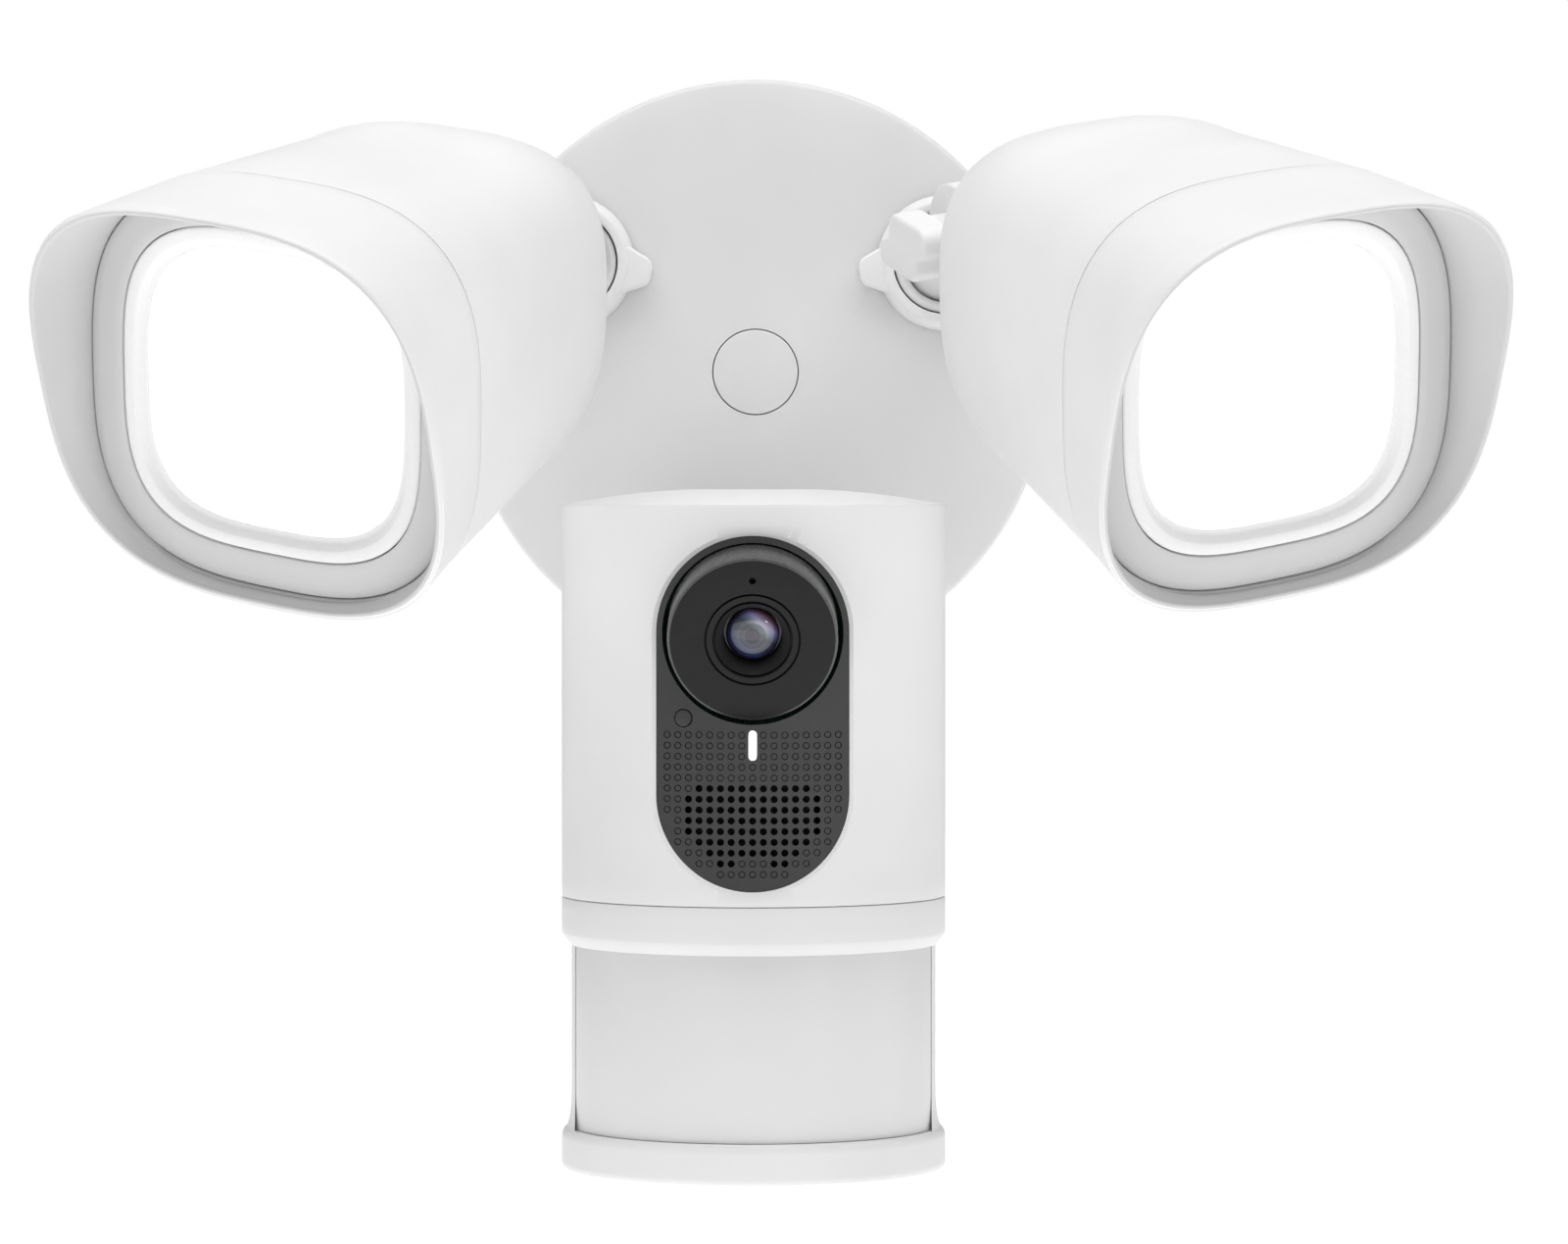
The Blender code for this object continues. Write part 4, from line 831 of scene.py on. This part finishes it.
def add_lamp(arm):
    _, knuckle = arm_frames(arm)
    hinge = knuckle @ turn_about("X", LAMP_BEND)
    place = hinge @ Matrix.Translation(LAMP_OFFSET)
    body = f"lamp_{arm}"
    ear_inner, ear_outer, ear_radius = LAMP_EARS
    housing = to_object(f"lamp_shell_{arm}", lamp_housing_mesh(), place)
    move = Matrix.Translation(-Vector(LAMP_OFFSET))
    ears = []
    for low in (-ear_outer, ear_inner):
        outline = [Vector(point) for point in ear_outline(ear_radius, LAMP_EAR_REACH)]
        high = low + ear_outer - ear_inner
        ear = pillow(outline, low, high, EAR_EDGE, lambda a, b, c: Vector((c, a, b)))
        ears.append(turned(ear, move))
    carve(housing, "UNION", ears)
    slot = tube_along((-ear_inner, 0, 0), (ear_inner, 0, 0), TONGUE_RADIUS + TONGUE_GAP, 96)
    hole = tube_along((-PIN_REACH, 0, 0), (PIN_REACH, 0, 0), PIN_RADIUS + GAP)
    carve(housing, "DIFFERENCE", [turned(slot, move), turned(hole, move)])
    replaced = [f"lamp_housing_{arm}"]
    finish_piece(housing, body, LOOKS["white_plastic"], replaced, sharp=36.0)
    visor = to_object(f"hood_{arm}", visor_mesh(), place)
    finish_piece(visor, body, LOOKS["visor_plastic"], [f"visor_{arm}"], sharp=50.0)
    # Second material: painted shade on the hood's inside.
    visor.data.materials.append(LOOKS["hood_inside_painted_shade"])
    bezel = to_object(f"trim_{arm}", bezel_mesh(), place)
    finish_piece(bezel, body, LOOKS["trim_plastic"], [f"bezel_{arm}"], sharp=50.0)
    rim = to_object(f"diffuser_frame_{arm}", diffuser_frame_mesh(), place)
    finish_piece(rim, body, LOOKS["diffuser_frame"], [f"diffuser_{arm}"], sharp=50.0)
    panel = to_object(f"diffuser_panel_{arm}", diffuser_panel_mesh(), place)
    finish_piece(panel, body, LOOKS["diffuser"], sharp=40.0)
    add_arm(arm, LAMP_EARS, f"knob_{arm}", hinge, 0.0, 0.0)


# ------------------------------------------------------------------------------------ camera head

def front_surface(x, inset):
    share = x / (HEAD_HALF_WIDTH - inset)
    return HEAD_CENTRE_Y - (HEAD_HALF_DEPTH - inset) * math.sqrt(max(0.0, 1 - share * share))


def pierced_sheet(outlines, front, back, dimples, depth):
    """A bent sheet with through holes, and blind dimples whose floors lie depth behind the front."""
    mesh = bmesh.new()
    edges = []
    walls = []
    for outline in outlines + dimples:
        points = [mesh.verts.new((x, 0.0, z)) for x, z in outline]
        edges += [mesh.edges.new((points[i - 1], points[i])) for i in range(len(points))]
        walls.append(points)
    bmesh.ops.triangle_fill(mesh, edges=edges, use_beauty=True)
    for face in mesh.faces:
        if face.normal.y > 0:
            face.normal_flip()
    for vertex in mesh.verts:
        vertex.co.y = front(vertex.co.x)
    rear = bmesh.new()
    rear_edges = []
    for outline in outlines:
        points = [rear.verts.new((x, 0.0, z)) for x, z in outline]
        rear_edges += [rear.edges.new((points[i - 1], points[i])) for i in range(len(points))]
    bmesh.ops.triangle_fill(rear, edges=rear_edges, use_beauty=True)
    rear.verts.index_update()
    copies = [mesh.verts.new((v.co.x, back(v.co.x), v.co.z)) for v in rear.verts]
    for face in rear.faces:
        mesh.faces.new([copies[v.index] for v in face.verts])
    rear.free()
    start = 0
    for points in walls[:len(outlines)]:
        behind = copies[start:start + len(points)]
        start += len(points)
        for i in range(len(points)):
            mesh.faces.new((points[i - 1], points[i], behind[i], behind[i - 1]))
    for points in walls[len(outlines):]:
        centre = sum((v.co for v in points), Vector()) / len(points)
        loops = [points]
        for share, level in DIMPLE_STEPS:
            spots = [centre + (v.co - centre) * share for v in points]
            loops.append([mesh.verts.new((p.x, p.y + level * depth, p.z)) for p in spots])
        for outer, inner in zip(loops, loops[1:]):
            for i in range(len(points)):
                mesh.faces.new((outer[i - 1], outer[i], inner[i], inner[i - 1]))
        mesh.faces.new(loops[-1])
    return mesh


def grille_spots():
    """Centres of the open holes and of the blind dimples of the grille."""
    open_spots = []
    blind_spots = []
    for row, (half_count, open_half) in enumerate(GRILLE_ROWS):
        level = GRILLE_FIRST_ROW - row * GRILLE_PITCH
        for column in range(-half_count, half_count + 1):
            if column == 0 and row < STATUS_ROWS:
                continue
            is_open = abs(column) <= open_half
            if row == len(GRILLE_ROWS) - 2:
                is_open = abs(column) in (2, 3)
            spots = open_spots if is_open else blind_spots
            spots.append((column * GRILLE_PITCH, level))
    return open_spots, blind_spots


def add_head_shell():
    seam = HEAD_SEAM + HEAD_SEAM_HALF_GAP
    roof = HEAD_TOP - HEAD_WALL
    rings = [ellipse(HEAD_CORE, roof), ellipse(12.0, roof), ellipse(HEAD_WALL, roof)]
    rings += [ellipse(HEAD_WALL, seam), ellipse(0.3, seam)]
    rings += [ellipse(0.08, seam + 0.1), ellipse(0.0, seam + 0.35)]
    for step in range(1, 24):
        rings.append(ellipse(0.0, seam + (HEAD_TOP - 0.8 - seam) * step / 23))
    rings += [ellipse(0.0, HEAD_TOP - 0.4), ellipse(0.1, HEAD_TOP - 0.1), ellipse(0.4, HEAD_TOP)]
    for step in range(1, 11):
        inset = 0.5 + (HEAD_HALF_DEPTH - 3.5) * step / 10
        rise = HEAD_TOP_RISE * math.sin(inset / HEAD_HALF_DEPTH * math.pi / 2)
        rings.append(ellipse(inset, HEAD_TOP + rise))
    shell = to_object("head_shell", loft(rings))
    hinge = Vector(JOINTS["tilt_camera"]["pos_m"]) / MM
    ear_inner, ear_outer, ear_radius = HEAD_EARS
    reach = HEAD_CENTRE_Y + HEAD_HALF_DEPTH - 4.5
    ears = []
    for low in (-ear_outer, ear_inner):
        outline = [Vector((hinge.y - b, hinge.z + a)) for a, b in ear_outline(ear_radius, hinge.y - reach)]
        high = low + ear_outer - ear_inner
        ears.append(pillow(outline, low, high, EAR_EDGE, lambda a, b, c: Vector((c, a, b))))
    carve(shell, "UNION", ears)
    grow = PANEL_OPENING_GAP
    window = stadium(PANEL_HALF_WIDTH + grow, PANEL_TOP + grow, PANEL_BOTTOM - grow, 48)
    front = HEAD_CENTRE_Y - 60
    back = HEAD_CENTRE_Y - 10
    opening = loft([[Vector((x, y, z)) for x, z in window] for y in (front, back)])
    flare = loft(bevel_rings())
    pin = tube_along((-30, hinge.y, hinge.z), (30, hinge.y, hinge.z), PIN_RADIUS + GAP)
    carve(shell, "DIFFERENCE", [opening, flare, pin])
    finish_piece(shell, "camera_head", LOOKS["white_plastic"], ["camera_shell"])


def bevel_rings():
    """Cutter for the sloped edge around the panel: each ring follows the curved front."""
    rings = []
    slope = (PANEL_BEVEL - PANEL_GAP) / PANEL_RECESS
    start = 1.2
    steps = ((start, PANEL_BEVEL + start * slope), (-PANEL_RECESS, PANEL_GAP), (-2.5, PANEL_GAP))
    for proud, grow in steps:
        outline = stadium(PANEL_HALF_WIDTH + grow, PANEL_TOP + grow, PANEL_BOTTOM - grow, 48)
        rings.append([Vector((x, front_surface(x, -proud), z)) for x, z in outline])
    return rings


def add_face():
    body = "camera_head"
    open_spots, blind_spots = grille_spots()
    half = STATUS_WIDTH / 2
    outlines = [stadium(PANEL_HALF_WIDTH, PANEL_TOP, PANEL_BOTTOM, 48)]
    outlines.append(round_outline(0.0, POCKET_LEVEL, POCKET_RADIUS, 120))
    outlines.append(stadium(half + PANEL_GAP, STATUS_TOP + PANEL_GAP, STATUS_BOTTOM - PANEL_GAP, 10))
    outlines.append(round_outline(*SENSOR_PLACE, SENSOR_RADIUS + 0.18, 40))
    outlines += [round_outline(x, z, GRILLE_HOLE_RADIUS, 16) for x, z in open_spots]
    dimples = [round_outline(x, z, GRILLE_HOLE_RADIUS, 16) for x, z in blind_spots]
    sheet = pierced_sheet(
        outlines,
        lambda x: front_surface(x, PANEL_RECESS),
        lambda x: front_surface(x, PANEL_RECESS + PANEL_THICKNESS),
        dimples,
        DIMPLE_DEPTH,
    )
    panel = to_object("face_plate", sheet)
    finish_piece(panel, body, LOOKS["dark_panel"], ["face_panel"], sharp=25.0)
    face = HEAD_CENTRE_Y - HEAD_HALF_DEPTH + PANEL_RECESS
    outline = [Vector(point) for point in stadium(half, STATUS_TOP, STATUS_BOTTOM, 10)]
    pipe = pillow(outline, face - 0.05, face + 4.2, 0.15, lambda a, b, c: Vector((a, c, b)))
    light = to_object("status_pipe", pipe)
    finish_piece(light, body, LOOKS["status_light"], ["status_light"])
    x, z = SENSOR_PLACE
    depth = front_surface(x, PANEL_RECESS) - 0.05
    disc = [Vector(point) for point in round_outline(0.0, 0.0, SENSOR_RADIUS, 40)]
    mesh = pillow(disc, depth, depth + 3.0, 0.15, lambda a, b, c: Vector((x + a, c, z + b)))
    window = to_object("sensor_window", mesh)
    finish_piece(window, body, LOOKS["dark_panel"], ["light_sensor_window"])


def turret_frame():
    face = HEAD_CENTRE_Y - HEAD_HALF_DEPTH + PANEL_RECESS
    return Matrix.Translation((0.0, face - TURRET_PROUD, LENS_LEVEL)) @ turn_about("X", 90.0 + TURRET_TILT)


def add_lens():
    body = "camera_head"
    place = turret_frame()
    side = [(10.1, -9.0), (TURRET_RADIUS, -9.0), (TURRET_RADIUS, -0.5), (TURRET_RADIUS - 0.14, -0.14)]
    groove = [(0.22, 0.0), (0.18, -1.2), (-0.18, -1.2), (-0.22, 0.0)]
    face = [(TURRET_RADIUS - 0.5, 0.0)] + [(GROOVE_RADIUS + out, level) for out, level in groove]
    face += [(8.1, -0.05), (7.9, -0.2), (7.82, -1.2), (7.5, -1.2), (7.4, -0.35)]
    well = [(6.3, -1.7), (5.95, -2.4), (5.8, -3.2), (5.75, -5.0), (10.1, -5.0)]
    mesh = lathe(side + face + well, closed=True, count=TURRET_STEPS)
    mesh.faces.ensure_lookup_table()
    # The side wall and its edge take the lighter second material, painted light.
    for part in mesh.faces[:len(side) * TURRET_STEPS]:
        part.material_index = 1
    turret = to_object("turret_face", mesh, place)
    ends = (0, MICROPHONE_PLACE, -2.0), (0, MICROPHONE_PLACE, 4.0)
    carve(turret, "DIFFERENCE", [tube_along(*ends, MICROPHONE_RADIUS, 32)])
    finish_piece(turret, body, LOOKS["dark_turret"], ["lens_turret"], sharp=30.0)
    # Second material: painted light on the turret's side wall.
    turret.data.materials.append(LOOKS["turret_side_painted_light"])
    barrel = [(5.35, -17.0), (6.6, -17.0), (6.6, -5.3), (5.6, -5.3), (5.6, -4.6), (5.2, -4.6), (5.2, -9.0)]
    tube = to_object("lens_tube", lathe(barrel, closed=True), place)
    finish_piece(tube, body, LOOKS["dark_gloss"], ["lens_barrel"])
    dome = [(5.0, -9.0), (5.0, GLASS_RIM - 0.4)]
    dome += [(GLASS_RADIUS, GLASS_RIM - 0.3), (GLASS_RADIUS, GLASS_RIM - 0.1)]
    for step in range(15):
        turn = math.radians(90.0 * step / 15)
        dome.append((GLASS_RADIUS * math.cos(turn), GLASS_RIM + GLASS_RISE * math.sin(turn)))
    glass = to_object("front_element", lathe(dome), place)
    # Left unbaked, because its coating rings are drawn around its own Z axis.
    finish_piece(glass, body, LOOKS["lens_glass"], ["lens_glass"], sharp=60.0, baked=False)


def add_lower():
    body = "camera_head"
    seam = HEAD_SEAM - HEAD_SEAM_HALF_GAP
    floor = FOOT_BOTTOM + HEAD_WALL
    inside = WAIST_INSET + 1.6
    rings = [ellipse(HEAD_CORE, floor), ellipse(inside, floor), ellipse(inside, seam), ellipse(0.3, seam)]
    rings += [ellipse(0.08, seam - 0.1), ellipse(0.0, seam - 0.35)]
    rings += [ellipse(0.0, -111.0), ellipse(0.0, -113.5)]
    rings += [ellipse(0.0, COLLAR_BOTTOM + 0.3), ellipse(0.12, COLLAR_BOTTOM - 0.15)]
    rings += [ellipse(WAIST_INSET - 0.2, WAIST_TOP + 0.15), ellipse(WAIST_INSET, WAIST_TOP)]
    rings += [ellipse(WAIST_INSET, -125.0), ellipse(WAIST_INSET, -135.0), ellipse(WAIST_INSET, -142.0)]
    for step in range(11):
        turn = math.radians(90.0 * step / 10)
        inset = WAIST_INSET - 1.5 * (1 - math.cos(turn))
        rings.append(ellipse(inset, FOOT_TOP + 8.0 - 8.3 * math.sin(turn)))
    for inset, drop in ((0.25, 0.7), (0.05, 1.2), (0.0, 1.7), (0.0, 2.1), (0.0, 3.5)):
        rings.append(ellipse(inset, FOOT_TOP - drop))
    rings.append(ellipse(0.0, FOOT_BOTTOM + 3.0))
    for inset, rise in ((0.0, 1.7), (0.0, 1.3), (0.15, 0.7), (0.5, 0.25), (1.3, 0.0), (HEAD_CORE, 0.0)):
        rings.append(ellipse(inset, FOOT_BOTTOM + rise))
    lower = to_object("lower_body", loft(rings))
    y = HEAD_CENTRE_Y
    window = block((-WINDOW_HALF_WIDTH, y - 50, FOOT_TOP), (WINDOW_HALF_WIDTH, y + 2, WAIST_TOP))
    hole = tube_along((0, y, FOOT_BOTTOM - 5), (0, y, FOOT_BOTTOM + 5), BUTTON_HOLE_RADIUS)
    carve(lower, "DIFFERENCE", [window, hole])
    finish_piece(lower, body, LOOKS["white_plastic"], ["lower_frame"], sharp=34.0)
    steps = 96
    outline = []
    for inset, order in ((WINDOW_INSET, 1), (WINDOW_INSET + WINDOW_THICKNESS, -1)):
        for step in range(steps + 1):
            x = order * WINDOW_HALF_WIDTH * math.cos(math.pi * step / steps)
            outline.append(Vector((x, front_surface(x, inset))))
    milk = pillow(outline, FOOT_TOP + 0.1, WAIST_TOP - 0.02, 0.1, lambda a, b, c: Vector((a, b, c)))
    sheet = to_object("pir_window", milk)
    finish_piece(sheet, body, LOOKS["milky_window"], ["motion_sensor_window"])
    cap = [(0.6, FOOT_BOTTOM + 0.25), (3.2, FOOT_BOTTOM + 0.1), (4.0, FOOT_BOTTOM + 0.2), (4.0, floor + 0.6)]
    flange = [(6.0, floor + 0.6), (6.0, floor + 1.8), (0.6, floor + 1.8)]
    place = Matrix.Translation((0.0, HEAD_CENTRE_Y, 0.0))
    button = to_object("button_cap", lathe(soften(cap, 0.5) + flange, count=64), place)
    finish_piece(button, "button", LOOKS["inner_plastic"], ["sync_button"])


def add_camera_arm():
    hinge = Vector(JOINTS["tilt_camera"]["pos_m"]) / MM
    add_arm("camera", HEAD_EARS, "knob_camera", Matrix.Translation(hinge), HEAD_KNOB_SHIFT, HEAD_KNOB_TURN)


# ------------------------------------------------------------------------------------ studio

def paint_frame():
    """Every carried-over CAD node takes the procedural look of its slot."""
    slots = {row["node"]: row["material_slot"] for row in frame["record"]["subparts"]}
    for node, thing in frame["nodes"].items():
        thing.data.materials.clear()
        thing.data.materials.append(LOOKS[slots[node]])


def add_studio():
    scene = bpy.context.scene
    scene.view_settings.view_transform = "Standard"
    world = bpy.data.worlds.new("studio")
    scene.world = world
    world.use_nodes = True
    tree = world.node_tree
    background = tree.nodes["Background"]
    background.inputs["Strength"].default_value = 1.0
    coordinates = tree.nodes.new("ShaderNodeTexCoord")
    split = tree.nodes.new("ShaderNodeSeparateXYZ")
    shade = tree.nodes.new("ShaderNodeMapRange")
    shade.inputs["From Min"].default_value = -1.0
    path = tree.nodes.new("ShaderNodeLightPath")
    mix = tree.nodes.new("ShaderNodeMix")
    mix.data_type = "RGBA"
    tree.links.new(coordinates.outputs["Generated"], split.inputs["Vector"])
    tree.links.new(split.outputs["Z"], shade.inputs["Value"])
    stops = [(0.0, grey(0.66)), (0.42, grey(0.26)), (0.58, grey(0.24)), (1.0, grey(0.80))]
    ramp(tree, shade.outputs["Result"], stops, mix.inputs["A"])
    mix.inputs["B"].default_value = (1.0, 1.0, 1.0, 1.0)
    tree.links.new(path.outputs["Is Camera Ray"], mix.inputs["Factor"])
    tree.links.new(mix.outputs["Result"], background.inputs["Color"])
    floor_mesh = bmesh.new()
    bmesh.ops.create_grid(floor_mesh, x_segments=8, y_segments=8, size=FLOOR_HALF)
    data = bpy.data.meshes.new("floor")
    floor_mesh.to_mesh(data)
    floor_mesh.free()
    floor = bpy.data.objects.new("floor", data)
    scene.collection.objects.link(floor)
    floor.location = (0.0, 0.0, FLOOR_LEVEL)
    material, tree, shader = new_material("studio_floor")
    shader.inputs["Roughness"].default_value = 0.85
    shader.inputs["Emission Color"].default_value = (1.0, 1.0, 1.0, 1.0)
    shader.inputs["Emission Strength"].default_value = 0.60
    ramp(tree, noise(tree, 3.0), [(0.3, grey(0.86)), (0.7, grey(0.88))], shader.inputs["Base Color"])
    data.materials.append(material)
    # Name, place and size in metres, power in watts.
    softboxes = [
        ("overhead", (0.0, -0.28, 0.60), (1.5, 0.30), 4.3),
        ("left", (-1.3, -0.38, -0.20), (0.7, 1.4), 1.3),
        ("right", (1.4, -0.38, -0.20), (0.6, 1.4), 1.75),
        ("low_front", (0.0, -0.70, -0.50), (1.3, 0.3), 0.65),
        ("catchlight", (0.72, -1.35, -0.12), (0.16, 0.12), 0.5),
    ]
    for name, place, size, power in softboxes:
        lamp = bpy.data.lights.new(name, "AREA")
        lamp.shape = "RECTANGLE"
        lamp.size, lamp.size_y = size
        lamp.energy = power
        thing = bpy.data.objects.new(name, lamp)
        scene.collection.objects.link(thing)
        thing.location = place
        aim = Vector(LIGHTS_AIM) - Vector(place)
        thing.rotation_euler = aim.to_track_quat("-Z", "Y").to_euler()


def add_camera():
    """Level camera 1 m in front of the wall, framed a little below its own height."""
    data = bpy.data.cameras.new("view")
    data.sensor_width = 36.0
    data.lens = CAMERA_LENS
    data.shift_y = CAMERA_SHIFT
    data.clip_start = 0.05
    data.clip_end = 50.0
    camera = bpy.data.objects.new("view", data)
    bpy.context.scene.collection.objects.link(camera)
    camera.location = CAMERA_PLACE
    camera.rotation_euler = (math.radians(90.0), 0.0, 0.0)
    bpy.context.scene.camera = camera


paint_frame()
add_base()
for arm_name in ARMS:
    add_socket(arm_name)
add_lamp("left")
add_lamp("right")
add_head_shell()
add_face()
add_lens()
add_lower()
add_camera_arm()
add_studio()
add_camera()
